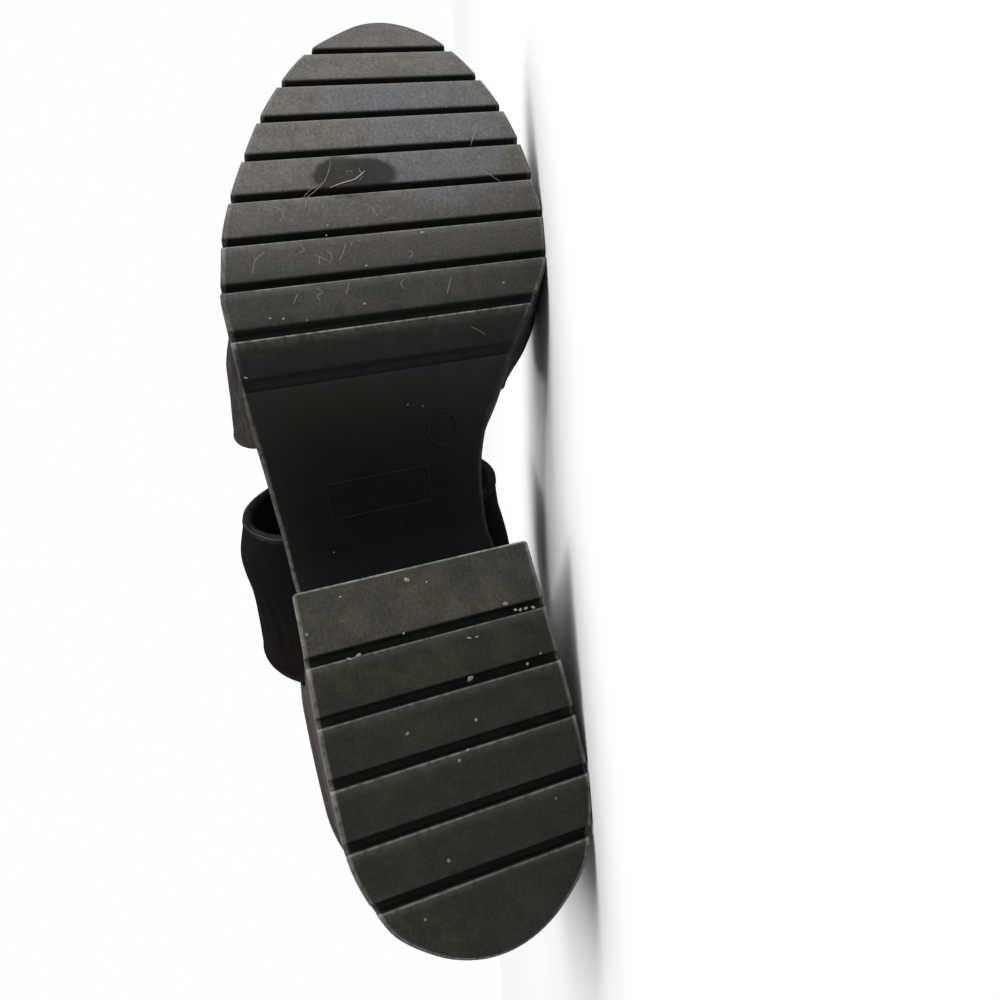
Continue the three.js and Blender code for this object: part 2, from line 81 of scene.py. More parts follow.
def curve(xs, ys):
    """Smooth line through a table: cubic between rows, each tangent the harmonic mean of the slopes beside it
    (none at a peak), and straight on past both ends."""
    xs, ys = np.asarray(xs, float), np.asarray(ys, float)
    slopes = np.diff(ys) / np.diff(xs)
    before, after = slopes[:-1], slopes[1:]
    rising = before * after > 0
    mean = np.where(rising, 2 * before * after / np.where(rising, before + after, 1), 0)
    tangents = np.concatenate([slopes[:1], mean, slopes[-1:]])

    def at(x):
        x = np.asarray(x, float)
        i = np.clip(np.searchsorted(xs, x, side="right") - 1, 0, len(xs) - 2)
        span = xs[i + 1] - xs[i]
        t = (x - xs[i]) / span
        bend = t * (1 - t) ** 2 * tangents[i] + t * t * (t - 1) * tangents[i + 1]
        inside = ys[i] + (ys[i + 1] - ys[i]) * t * t * (3 - 2 * t) + bend * span
        low = ys[0] + (x - xs[0]) * tangents[0]
        high = ys[-1] + (x - xs[-1]) * tangents[-1]
        return np.where(x <= xs[0], low, np.where(x >= xs[-1], high, inside))

    return at


def smooth(x, low, high):
    """Smooth step: 0 up to low, 1 from high, a cubic S between."""
    t = np.clip((np.asarray(x, float) - low) / (high - low), 0, 1)
    return t * t * (3 - 2 * t)


# Edge of the sole's plan as half widths on the inner and outer side, in shares of the ball's width
OUTLINE = np.array([
    (0, 0, 0), (0.05, 0.16, 0.16), (0.15, 0.262, 0.262), (0.35, 0.322, 0.322), (0.6, 0.328, 0.328),
    (1, 0.322, 0.326), (1.25, 0.313, 0.353), (1.46, 0.322, 0.357), (1.62, 0.352, 0.357), (1.74, 0.41, 0.358),
    (1.85, 0.46, 0.355), (2, 0.556, 0.355), (2.124, 0.636, 0.356), (2.247, 0.663, 0.33), (2.374, 0.67, 0.285),
    (2.5, 0.665, 0.224), (2.627, 0.644, 0.155), (2.752, 0.601, 0.069), (2.881, 0.529, -0.049),
    (2.96, 0.444, -0.177), (3, 0.312, -0.312),
])
# Side view: the footbed's and the waist's heights, in shares of their rise
PROFILE = np.array([
    (-0.1, 1.004, 0.967), (0, 1, 0.965), (0.4, 0.978, 0.945), (0.75, 0.93, 0.92), (1, 0.855, 0.895),
    (1.2, 0.755, 0.83), (1.35, 0.63, 0.73), (1.5, 0.45, 0.58), (1.6, 0.3, 0.465), (1.7, 0.17, 0.33),
    (1.8, 0.085, 0.2), (1.88, 0.05, 0.11), (1.96, 0.025, 0.035), (2, 0.018, 0),
])
# How far the side wall leans out at its top, in shares of the heel's and the platform's flare
FLARE = np.array([
    (0, 1, 0), (0.7, 1, 0), (1, 0.55, 0), (1.3, 0.1, 0.3), (1.7, 0, 0.6), (2.1, 0, 1), (2.5, 0, 1), (3, 0, 0.5),
])

plan_places = place(OUTLINE[:, 0])
middle_share = curve(plan_places, (OUTLINE[:, 1] - OUTLINE[:, 2]) / 2)
square_share = curve(plan_places, (OUTLINE[:, 1] + OUTLINE[:, 2]) ** 2 / 4)
footbed_share = curve(place(PROFILE[:, 0]), PROFILE[:, 1])
underside_share = curve(place(PROFILE[:, 0]), PROFILE[:, 2])
heel_flare = curve(place(FLARE[:, 0]), FLARE[:, 1])
platform_flare = curve(place(FLARE[:, 0]), FLARE[:, 2])
HEEL_SCALE = HEEL_WIDTH / 2 / np.sqrt(square_share(place(0.6)))


def plan_edge(x, side):
    """Edge of the plan on one side (1 inner, -1 outer): the middle line plus the half width, whose square runs
    through the table so that both ends close in a round."""
    scale = HEEL_SCALE + (BALL_WIDTH - HEEL_SCALE) * smooth(x, BREAST, BREAST + 32.5)
    return BALL_WIDTH * middle_share(x) + side * scale * np.sqrt(np.maximum(0, square_share(x)))


def spring(x):
    """Lift of the tread towards the toe: a square law from behind the ball."""
    run = np.maximum(0, x - 164.26) / (TOE - 164.26)
    return 8.4 * run * run


def footbed(x):
    """Height of the sole's top: platform, climb to the heel seat and a little of the toe's lift."""
    climb = np.where(x < TREAD_END, footbed_share(x), 0.018)
    return PLATFORM + climb * (HEEL_HEIGHT - PLATFORM) + 0.6 * spring(x)


def underside(x):
    """Height of the waist's underside."""
    return underside_share(x) * (HEEL_HEIGHT - WAIST_THICKNESS)


def flare(x, share):
    """Lean of the side wall at a share of its height: even up the wall, less at the back of the heel."""
    return share * ((4 + 4 * smooth(x, 0, 21.5)) * heel_flare(x) + 2.5 * platform_flare(x))


def edge_point(x, side, out):
    """Point of the plan's edge moved outwards by `out` square to the edge."""
    x, out = np.broadcast_arrays(np.asarray(x, float), np.asarray(out, float))
    low, high = np.maximum(0, x - 0.05), np.minimum(TOE, x + 0.05)
    run, rise = high - low, plan_edge(high, side) - plan_edge(low, side)
    size = np.hypot(run, rise)
    nx, ny = -side * rise / size, side * run / size
    ends = (x <= 0) | (x >= TOE)
    nx = np.where(ends, np.where(x <= 0, -1.0, 1.0), nx)
    ny = np.where(ends, 0.0, ny)
    return x + nx * out, plan_edge(x, side) + ny * out


# Where the sandal lies: the two treads' mounts give the shoe's axes and its origin
mounts = {m["name"]: m for m in frame["record"]["mounts"]}
up_axis = -np.array(mounts["heel_tread"]["axis"], float)
heel_spot = np.array(mounts["heel_tread"]["pos_m"], float)
ahead = np.array(mounts["forefoot_tread"]["pos_m"], float) - heel_spot
ahead /= np.linalg.norm(ahead)
tread_angle = np.arctan2(10, 79.5)
toe_axis = np.cos(tread_angle) * ahead - np.sin(tread_angle) * np.cross(up_axis, ahead)
inner_axis = np.cross(up_axis, toe_axis)
shoe_axes = np.stack([toe_axis, inner_axis, up_axis])
shoe_origin = heel_spot - 0.078 * toe_axis


def laid(points):
    """Points of the standing shoe in millimetres, turned to where it lies, in metres."""
    return np.asarray(points, float) / 1000 @ shoe_axes + shoe_origin


def stack(x, y, z):
    """One array of points from three arrays of coordinates."""
    return np.stack(np.broadcast_arrays(x, y, z), -1)


def new_object(name, data):
    """New object that carries the data, in the scene."""
    made = bpy.data.objects.new(name, data)
    bpy.context.scene.collection.objects.link(made)
    return made


def grid_faces(rows, columns, start=0):
    """Indices of a grid's points, from `start` on, four for each face."""
    index = start + np.arange(rows * columns).reshape(rows, columns)
    return np.stack([index[:-1, :-1], index[1:, :-1], index[1:, 1:], index[:-1, 1:]], -1).reshape(-1, 4)


def surface_object(name, patches, material, smooth_angle=None):
    """One closed object from patches that share their borders. A patch is a grid of points (rows, columns, 3)
    with grids of values by name. Borders are merged, and faces turned outwards."""
    points, faces, start = [], [], 0
    values = {}
    for grid, masks in patches:
        rows, columns = grid.shape[:2]
        faces.append(grid_faces(rows, columns, start))
        points.append(grid.reshape(-1, 3))
        for key in masks:
            values.setdefault(key, []).append(np.broadcast_to(masks[key], (rows, columns)).ravel())
        start += rows * columns
    points, faces = np.concatenate(points), np.concatenate(faces)
    mesh = bpy.data.meshes.new(name)
    mesh.from_pydata(laid(points).tolist(), [], faces.tolist())
    standing = mesh.attributes.new("standing", "FLOAT_VECTOR", "POINT")
    standing.data.foreach_set("vector", (points / 1000).astype(np.float32).ravel())
    for key, parts in values.items():
        mask = mesh.attributes.new(key, "FLOAT", "POINT")
        mask.data.foreach_set("value", np.concatenate(parts).astype(np.float32))
    work = bmesh.new()
    work.from_mesh(mesh)
    bmesh.ops.remove_doubles(work, verts=work.verts, dist=1e-6)
    bmesh.ops.recalc_face_normals(work, faces=work.faces)
    work.to_mesh(mesh)
    work.free()
    mesh.polygons.foreach_set("use_smooth", np.ones(len(mesh.polygons), bool))
    if smooth_angle:
        mesh.set_sharp_from_angle(angle=smooth_angle)
    mesh.update()
    piece = new_object(name, mesh)
    mesh.materials.append(material)
    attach(piece, "root")
    return piece


# ---- Nodes ----


def add(tree, kind, inputs=None, **settings):
    """New node with its settings; each input is a value or another node's output."""
    made = tree.nodes.new(kind)
    for key, value in settings.items():
        setattr(made, key, value)
    for key, value in (inputs or {}).items():
        if isinstance(value, bpy.types.NodeSocket):
            tree.links.new(value, made.inputs[key])
        else:
            made.inputs[key].default_value = value
    return made


def maths(tree, operation, a, b=0.0, clamp=False):
    return add(tree, "ShaderNodeMath", {0: a, 1: b}, operation=operation, use_clamp=clamp).outputs[0]


def times(tree, *values):
    """Product of several values."""
    product = values[0]
    for value in values[1:]:
        product = maths(tree, "MULTIPLY", product, value)
    return product


def step(tree, value, low, high, start=0.0, end=1.0):
    """Smooth step of a value between two marks."""
    ends = {"Value": value, "From Min": low, "From Max": high, "To Min": start, "To Max": end}
    return add(tree, "ShaderNodeMapRange", ends, interpolation_type="SMOOTHSTEP").outputs["Result"]


def noise(tree, vector, scale, detail, roughness=0.5, distortion=0.0):
    inputs = {"Vector": vector, "Scale": scale, "Detail": detail, "Roughness": roughness, "Distortion": distortion}
    return add(tree, "ShaderNodeTexNoise", inputs).outputs["Fac"]


def blend(tree, share, a, b, mode="MIX"):
    """Colour a turned into b by a share."""
    a, b = [(*c, 1) if isinstance(c, tuple) else c for c in (a, b)]
    return add(tree, "ShaderNodeMix", {0: share, 6: a, 7: b}, data_type="RGBA", blend_type=mode).outputs[2]


def coats(tree, base, *layers):
    """Colour with others laid over it in turn: each layer is its share, its colour, and how it blends if not MIX."""
    for share, colour, *mode in layers:
        base = blend(tree, share, base, colour, *mode)
    return base


def effect(name, inputs, outputs, make):
    """Shared effect: a node group with named inputs and outputs, whose nodes `make` lays out."""
    tree = bpy.data.node_groups.new(name, "ShaderNodeTree")
    for key, value in inputs.items():
        kind = "NodeSocketVector" if value is None else "NodeSocketFloat"
        socket = tree.interface.new_socket(name=key, in_out="INPUT", socket_type=kind)
        if value is not None:
            socket.default_value = value
    for key in outputs:
        tree.interface.new_socket(name=key, in_out="OUTPUT", socket_type="NodeSocketFloat")
    source, sink = tree.nodes.new("NodeGroupInput"), tree.nodes.new("NodeGroupOutput")
    for key, result in zip(outputs, make(tree, source.outputs)):
        tree.links.new(result, sink.inputs[key])
    return tree


def use(tree, shared, **inputs):
    """Places a shared effect in a material with its own values, and gives its outputs."""
    return add(tree, "ShaderNodeGroup", inputs, node_tree=shared).outputs


# ---- Effects that more than one finish uses ----


def mottle_nodes(tree, given):
    """Cloud is a slow unevenness of tone, Smudge a middling one, Grain the surface's own roughness."""
    vector, scale = given["Vector"], given["Scale"]
    cloud = step(tree, noise(tree, vector, scale, 4.0, 0.6, 0.8), 0.36, 0.64)
    smudge = step(tree, noise(tree, vector, times(tree, scale, 6.5), 4.0, 0.65, 0.4), 0.34, 0.68)
    grain = noise(tree, vector, times(tree, scale, 80.0), 3.0, 0.6)
    return cloud, smudge, grain


def wear_nodes(tree, given):
    """Wear is the edge mask, sharpened and broken up along the edge by a fine and a slow noise."""
    broken = step(tree, noise(tree, given["Vector"], 520.0, 3.0, 0.65), 0.34, 0.58, 0.4, 1.0)
    rubbed = step(tree, noise(tree, given["Vector"], 38.0, 2.0), 0.32, 0.6, 0.45, 1.0)
    edge = maths(tree, "POWER", given["Edge"], 1.6)
    return (maths(tree, "MULTIPLY", times(tree, edge, broken, rubbed), given["Amount"], clamp=True),)


def dust_nodes(tree, given):
    """Specks are small round spots in a share of the cells of a cell pattern, Film a patchy fine veil."""
    cells = add(tree, "ShaderNodeTexVoronoi", {"Vector": given["Vector"], "Scale": given["Scale"]})
    chance = add(tree, "ShaderNodeSeparateColor", {0: cells.outputs["Color"]}).outputs
    chosen = maths(tree, "LESS_THAN", chance[0], given["Share"])
    size = step(tree, chance[1], 0.0, 1.0, 0.05, 0.19)
    near = maths(tree, "SUBTRACT", size, cells.outputs["Distance"])
    specks = times(tree, step(tree, near, 0.0, 0.03), chosen)
    veil = noise(tree, given["Vector"], times(tree, given["Scale"], 0.6), 5.0, 0.7, 1.2)
    patches = noise(tree, given["Vector"], 46.0, 2.0)
    return specks, times(tree, step(tree, veil, 0.52, 0.74), step(tree, patches, 0.42, 0.66))


def scratch_nodes(tree, given):
    """Lines are the borders between long thin cells, bent by a noise and kept in a few patches."""
    bend = add(tree, "ShaderNodeTexNoise", {"Vector": given["Vector"], "Scale": 60.0, "Detail": 1.0})
    offset = add(tree, "ShaderNodeVectorMath", {0: bend.outputs["Color"], 1: (0.004, 0.004, 0.004)},
                 operation="MULTIPLY")
    moved = add(tree, "ShaderNodeVectorMath", {0: given["Vector"], 1: offset.outputs[0]}, operation="ADD")
    long_way = add(tree, "ShaderNodeMapping", {"Vector": moved.outputs[0], "Rotation": (0, 0, 0.5),
                                               "Scale": (0.13, 1.0, 1.0)}).outputs[0]
    cells = add(tree, "ShaderNodeTexVoronoi", {"Vector": long_way, "Scale": given["Scale"]},
                feature="DISTANCE_TO_EDGE")
    thin = step(tree, cells.outputs["Distance"], 0.018, 0.004)
    patches = step(tree, noise(tree, given["Vector"], 34.0, 3.0, 0.6), 0.54, 0.66)
    return (maths(tree, "MULTIPLY", times(tree, thin, patches), given["Amount"], clamp=True),)


def leather_nodes(tree, given):
    """Height is the pebble of the grain: smooth cells with fine noise on them; Pores are its dark pits."""
    cells = add(tree, "ShaderNodeTexVoronoi", {"Vector": given["Vector"], "Scale": given["Scale"]},
                feature="SMOOTH_F1")
    fine = noise(tree, given["Vector"], times(tree, given["Scale"], 2.3), 3.0)
    height = maths(tree, "SUBTRACT", times(tree, fine, 0.5), cells.outputs["Distance"])
    return height, step(tree, cells.outputs["Distance"], 0.55, 0.85)


def weave_nodes(tree, given):
    """Height is the product of two waves, one for the warp and one for the weft, roughened by fibres."""
    warp = maths(tree, "SINE", times(tree, given["Across"], given["Warp"]))
    weft = maths(tree, "SINE", times(tree, given["Along"], given["Weft"]))
    fibres = noise(tree, given["Vector"], 2600.0, 2.0, 0.7)
    nap = noise(tree, given["Vector"], 90.0, 3.0, 0.6)
    return maths(tree, "ADD", times(tree, warp, weft), times(tree, fibres, 1.6)), step(tree, nap, 0.3, 0.7)


mottle = effect("mottle", {"Vector": None, "Scale": 30.0}, ("Cloud", "Smudge", "Grain"), mottle_nodes)
edge_wear = effect("edge_wear", {"Edge": 0.0, "Vector": None, "Amount": 1.0}, ("Wear",), wear_nodes)
dust = effect("dust", {"Vector": None, "Scale": 250.0, "Share": 0.1}, ("Specks", "Film"), dust_nodes)
scratches = effect("scratches", {"Vector": None, "Scale": 400.0, "Amount": 1.0}, ("Lines",), scratch_nodes)
leather = effect("leather_grain", {"Vector": None, "Scale": 1300.0}, ("Height", "Pores"), leather_nodes)
weave = effect("weave", {"Vector": None, "Across": 0.0, "Along": 0.0, "Warp": 300.0, "Weft": 1200.0},
               ("Height", "Nap"), weave_nodes)


# ---- Finishes ----


def finish(name, roughness, **plain_values):
    """New material: its tree, its shader, its coordinates on the standing shoe, and a reader of the piece's
    masks. What is the same all over is set on the shader itself."""
    made = bpy.data.materials.new(name)
    made.use_nodes = True
    tree = made.node_tree
    shader = tree.nodes["Principled BSDF"]
    shader.inputs["Roughness"].default_value = roughness
    for key, value in plain_values.items():
        shader.inputs[key.replace("_", " ")].default_value = value
    spot = add(tree, "ShaderNodeAttribute", None, attribute_name="standing").outputs["Vector"]

    def mask(key):
        return add(tree, "ShaderNodeAttribute", None, attribute_name=key).outputs["Fac"]

    return made, tree, shader, spot, mask


def set_surface(tree, shader, colour, roughness, height, distance, strength):
    """Links a material's colour, its roughness unless that is None, and its bump."""
    tree.links.new(colour, shader.inputs["Base Color"])
    if roughness is not None:
        tree.links.new(roughness, shader.inputs["Roughness"])
    bump = add(tree, "ShaderNodeBump", {"Strength": strength, "Distance": distance, "Height": height})
    tree.links.new(bump.outputs[0], shader.inputs["Normal"])


def oval(tree, spot, middle, radii, ragged=0.5):
    """Mask of an oval patch on the tread, in metres of the shoe's x and y, with a ragged edge."""
    (x, y), (a, b) = middle, radii
    moved = add(tree, "ShaderNodeMapping",
                {"Vector": spot, "Location": (-x / a, -y / b, 0), "Scale": (1 / a, 1 / b, 0)}).outputs[0]
    reach = add(tree, "ShaderNodeVectorMath", {0: moved}, operation="LENGTH").outputs["Value"]
    uneven = times(tree, noise(tree, spot, 110.0, 4.0, 0.6), ragged)
    return step(tree, maths(tree, "ADD", reach, uneven), 1.32, 1.08)


def rubber_finish():
    """Worn satin black rubber. The lugs go from painted shade at the back of the heel to painted light at the toe,
    standing in for the toe-side light's falloff, mixed at the toe with a pale dust film; they carry painted bluish
    reflections on the forefoot, a wet patch, dust and mottling. The grooves and the strip before the waist are
    painted near black as painted shade, the lips rubbed pale with a painted highlight on the toe-facing and outer
    edges, the waist dark from its own finish and from painted shade that deepens towards the heel, and the heel's
    outer wall has a painted brown reflection over a paler painted highlight at its foot. Zones are in metres along
    the shoe's axes."""
    made, tree, shader, spot, mask = finish("rubber", 0.55, Specular_IOR_Level=0.2)
    place_on = add(tree, "ShaderNodeSeparateXYZ", {0: spot}).outputs

    def zone(axis, low, high, *ends):
        return step(tree, place_on[axis], low, high, *ends)

    tone = use(tree, mottle, Vector=spot, Scale=24.0)
    smudge, front, wall_part, groove = tone["Smudge"], mask("front"), mask("wall"), mask("groove")
    # Painted light towards the toe, standing in for the falloff of the toe-side light along the forefoot, together
    # with a pale dust film.
    toe_dust_and_painted_light = zone(0, 0.154, 0.208, 0.0, 0.87)
    # Painted reflection: bluish patches on the forefoot lugs stand in for the light's reflection on the satin rubber.
    painted_bluish_reflection = (0.098, 0.103, 0.124)
    specks = use(tree, dust, Vector=spot, Scale=420.0, Share=0.075)
    lines = use(tree, scratches, Vector=spot, Scale=420.0, Amount=0.10)["Lines"]
    fine, ruddy = noise(tree, spot, 1300.0, 3.0, 0.7), noise(tree, spot, 260.0, 2.0)
    lug = coats(
        tree, blend(tree, tone["Cloud"], (0.0215, 0.0225, 0.0165), (0.0370, 0.0330, 0.0255)),
        (times(tree, smudge, 0.55), (0.0135, 0.0140, 0.0105)),
        (toe_dust_and_painted_light, (0.120, 0.112, 0.101)),
        (times(tree, smudge, toe_dust_and_painted_light, 0.7), (0.068, 0.066, 0.057)),
        (times(tree, oval(tree, spot, (0.205, 0.033), (0.024, 0.021)), 0.45), painted_bluish_reflection),
        (times(tree, oval(tree, spot, (0.2215, 0.0155), (0.0085, 0.0115)), 0.5), painted_bluish_reflection),
        # Painted shade: the tread behind the tread's end, towards the waist and on the breast, is darkened.
        (times(tree, zone(0, 0.152, 0.150), front, 0.75), (0.0070, 0.0080, 0.0055)),
        (times(tree, oval(tree, spot, (0.1935, 0.0075), (0.0078, 0.0130), 0.7), 0.9), (0.0075, 0.0062, 0.0050)),
        # Painted shade and painted light: the back of the heel is multiplied darker and its front lighter, standing
        # in for the toe-side light's falloff along the shoe.
        (times(tree, zone(0, 0.0705, 0.0690), 0.9), (0.53, 0.59, 0.45), "MULTIPLY"),
        (times(tree, zone(0, 0.0690, 0.0705), zone(0, 0.100, 0.095)), (1.36, 1.36, 1.38), "MULTIPLY"),
        (times(tree, specks["Film"], zone(0, 0.10, 0.16, 0.4, 1.0), 0.30), (0.105, 0.10, 0.092)),
        (times(tree, lines, zone(0, 0.14, 0.16)), (0.13, 0.13, 0.12)),
        (times(tree, specks["Specks"], 0.42), (0.27, 0.26, 0.23)),
        (step(tree, fine, 0.5, 0.75, 0.0, 0.75), (1.9, 1.8, 1.7), "MULTIPLY"),
        (step(tree, fine, 0.5, 0.28, 0.0, 0.75), (0.5, 0.5, 0.5), "MULTIPLY"),
        (step(tree, ruddy, 0.5, 0.7, 0.0, 0.35), (1.25, 1.0, 0.95), "MULTIPLY"))
    # Painted light on the heel's outer wall: a pale painted highlight low down, where the wall catches the light at a
    # grazing angle, and above it a painted brown reflection of the counter.
    outer_heel = times(tree, zone(0, 0.100, 0.085), zone(1, -0.008, -0.024, 0.25, 1.0))
    side = coats(
        tree, blend(tree, smudge, (0.044, 0.039, 0.034), (0.030, 0.027, 0.024)),
        (times(tree, outer_heel, zone(2, 0.020, 0.003), 0.85), (0.130, 0.110, 0.102)),
        (times(tree, outer_heel, zone(2, 0.016, 0.045), 0.9), (0.045, 0.025, 0.021)))
    # The waist's dark tone is partly its own finish and partly painted shade, deeper towards the heel.
    waist = blend(tree, zone(0, 0.139, 0.122), (0.0100, 0.0115, 0.0080), (0.0048, 0.0072, 0.0048))
    # Pale lips: real wear, plus a painted highlight where the lip mask is stronger on the toe-facing, breast and
    # outer edges.
    worn = use(tree, edge_wear, Edge=mask("lip"), Vector=spot, Amount=0.95)["Wear"]
    base = coats(
        tree, lug,
        # Painted shade again on the strip between the waist groove and the tread's end.
        (times(tree, zone(0, 0.1500, 0.1440), zone(0, 0.1395, 0.1415), front, 0.85), (0.0065, 0.0080, 0.0055)),
        (times(tree, zone(0, 0.1425, 0.1385), zone(0, 0.078, 0.0805), front), waist),
        # Painted shade: the grooves, the waist's groove among them, are painted near black for the shade in their
        # recesses.
        (wall_part, side), (groove, (0.0065, 0.0075, 0.0055)), (worn, (0.26, 0.25, 0.23)))
    roughness = step(tree, smudge, 0.0, 1.0, 0.50, 0.64)
    for rough_part in (groove, wall_part):
        roughness = maths(tree, "ADD", roughness, times(tree, rough_part, 0.2))
    pits = use(tree, leather, Vector=spot, Scale=1500.0)["Height"]
    height = maths(tree, "ADD", times(tree, tone["Grain"], 0.8), times(tree, pits, 0.5))
    set_surface(tree, shader, base, roughness, height, 0.00012, 0.6)
    return made


def sock_finish():
    """Matt black lining leather, brown and shiny where the heel and the ball rub it."""
    made, tree, shader, spot, mask = finish("sock_leather", 0.62)
    tone = use(tree, mottle, Vector=spot, Scale=30.0)
    grain = use(tree, leather, Vector=spot, Scale=1100.0)
    film = use(tree, dust, Vector=spot, Scale=260.0, Share=0.04)
    base = coats(
        tree, blend(tree, tone["Cloud"], (0.017, 0.016, 0.015), (0.024, 0.020, 0.018)),
        (times(tree, mask("trodden"), 0.6), (0.045, 0.034, 0.027)),
        (times(tree, grain["Pores"], 0.3), (0.006, 0.006, 0.006)),
        (times(tree, film["Specks"], 0.3), (0.2, 0.19, 0.17)))
    roughness = maths(tree, "SUBTRACT", step(tree, tone["Smudge"], 0.0, 1.0, 0.58, 0.72),
                      times(tree, mask("trodden"), 0.16))
    set_surface(tree, shader, base, roughness, grain["Height"], 0.00010, 0.5)
    return made


def strap_finish(name, pale, dark, lining, gloss, scale, wear, shine, tint):
    """Leather of a strap: a grain with darker pores, uneven tone, edges rubbed paler, and its own lining on the
    inner face. `shine` and `tint` set how strong and how warm its reflection is."""
    made, tree, shader, spot, mask = finish(name, gloss, Specular_IOR_Level=shine, Specular_Tint=tint)
    tone = use(tree, mottle, Vector=spot, Scale=34.0)
    grain = use(tree, leather, Vector=spot, Scale=scale)
    inside = maths(tree, "SUBTRACT", 1.0, mask("outer"), clamp=True)
    worn = use(tree, edge_wear, Edge=mask("rim"), Vector=spot, Amount=wear)["Wear"]
    specks = use(tree, dust, Vector=spot, Scale=300.0, Share=0.03)
    base = coats(
        tree, blend(tree, tone["Cloud"], dark, pale),
        (times(tree, tone["Smudge"], 0.4), dark),
        (times(tree, grain["Pores"], 0.45), (0.004, 0.004, 0.004)),
        (inside, lining), (worn, (0.10, 0.092, 0.085)),
        (times(tree, specks["Specks"], 0.3), (0.26, 0.25, 0.23)),
        (times(tree, specks["Film"], 0.12), (0.09, 0.085, 0.08)))
    rough = step(tree, tone["Smudge"], 0.0, 1.0, gloss - 0.07, gloss + 0.09)
    rough = maths(tree, "ADD", rough, times(tree, inside, 0.25))
    set_surface(tree, shader, base, rough, grain["Height"], 0.00014, 0.6)
    return made


def band_finish():
    """Matt black suede cloth: crossed threads under a short uneven nap, faint pale streaks along the rolled front
    rim, and a slight rusty cast low down at the back."""
    made, tree, shader, spot, mask = finish("band_cloth", 0.92, Specular_IOR_Level=0.05)
    across, along, outer = mask("across"), mask("along"), mask("outer")
    cloth = use(tree, weave, Vector=spot, Across=across, Along=along, Warp=330.0, Weft=1350.0)
    tone = use(tree, mottle, Vector=spot, Scale=40.0)
    low = times(tree, step(tree, across, 0.55, 0.1), step(tree, along, 0.72, 0.9), 0.5)
    long_way = add(tree, "ShaderNodeCombineXYZ",
                   {0: times(tree, across, 90.0), 1: times(tree, along, 9.0), 2: 0.0}).outputs[0]
    streaks = step(tree, noise(tree, long_way, 1.0, 3.0, 0.65), 0.48, 0.66)
    inside = maths(tree, "SUBTRACT", 1.0, outer, clamp=True)
    worn = use(tree, edge_wear, Edge=mask("rim"), Vector=spot, Amount=0.25)["Wear"]
    specks = use(tree, dust, Vector=spot, Scale=280.0, Share=0.03)["Specks"]
    base = coats(
        tree, blend(tree, cloth["Nap"], (0.0014, 0.0014, 0.0011), (0.0032, 0.0030, 0.0026)),
        (times(tree, tone["Smudge"], 0.5), (0.0010, 0.0010, 0.0009)),
        (low, (0.0065, 0.0032, 0.0026)),
        (times(tree, streaks, step(tree, across, 0.93, 0.96), outer, 0.8), (0.060, 0.058, 0.055)),
        (times(tree, inside, 0.8), (0.0025, 0.0028, 0.0025)),
        (worn, (0.06, 0.06, 0.056)), (times(tree, specks, 0.35), (0.25, 0.24, 0.22)))
    set_surface(tree, shader, base, step(tree, cloth["Nap"], 0.0, 1.0, 0.86, 0.98), cloth["Height"], 0.00008, 0.7)
    return made


def plain_finish(name, colour, roughness, grain=0.25, **plain_values):
    """Simple finish for threads and dirt: one tone with a darker fine grain."""
    made, tree, shader, spot, _ = finish(name, roughness, **plain_values)
    darker = tuple(c * (1 - grain) for c in colour)
    set_surface(tree, shader, blend(tree, noise(tree, spot, 900.0, 3.0), darker, colour), None,
                noise(tree, spot, 1800.0, 2.0), 0.00005, 0.5)
    return made


rubber = rubber_finish()
sock_leather = sock_finish()
vamp_leather = strap_finish(
    "vamp_leather", pale=(0.0150, 0.0105, 0.0095), dark=(0.0060, 0.0042, 0.0040), lining=(0.006, 0.005, 0.0045),
    gloss=0.66, scale=1300.0, wear=0.25, shine=0.1, tint=(1.0, 0.82, 0.74, 1.0))
counter_leather = strap_finish(
    "counter_leather", pale=(0.014, 0.0075, 0.006), dark=(0.006, 0.0038, 0.0032), lining=(0.009, 0.008, 0.007),
    gloss=0.34, scale=1500.0, wear=0.3, shine=0.25, tint=(1.0, 0.86, 0.8, 1.0))
suede = band_finish()
thread = plain_finish("thread", (0.006, 0.0055, 0.0055), 0.7, Specular_IOR_Level=0.2)

# ---- Sole ----

# Section of a groove, as distance from its middle and depth; and a quarter round, as two distances from its ends
GROOVE_SIDE = np.array([(0, 3), (0.5, 3), (0.8, 2.85), (0.95, 2.3), (1.05, 1.4), (1.15, 0.6), (1.25, 0.25),
                        (1.45, 0.06), (1.75, 0)])
ROUND = np.array([(0, 1), (0.076, 0.62), (0.293, 0.293), (0.62, 0.076), (1, 0)])


def groove_depth(x):
    """Depth of the tread's grooves: a flat floor, steep walls and rounded lips; the waist's is 0.4 as deep."""
    near = np.abs(np.asarray(x, float)[..., None] - GROOVES).min(-1)
    deep, shallow = [np.interp(far, *GROOVE_SIDE.T) for far in (near, np.abs(x - WAIST_GROOVE))]
    return deep + 0.4 * shallow


def in_groove(x):
    """Mask that is 1 in the grooves, the shallow one of the waist included."""
    return np.interp(groove_depth(x), [0.06, 0.5], [0, 1])


def lug_edge(x):
    """Mask of the pale lips, part wear and part painted highlight: full on the lug's edge that faces the toe, where
    the toe-side light falls, faint on the one that faces the heel.
    """
    ahead = GROOVES - np.asarray(x, float)[..., None]
    ahead = np.take_along_axis(ahead, np.abs(ahead).argmin(-1)[..., None], -1)[..., 0]
    return np.interp(ahead, [-1.8, -1.35, -1.1, 1.1, 1.25, 1.5, 1.9], [0, 0.12, 0, 0, 1, 1, 0])


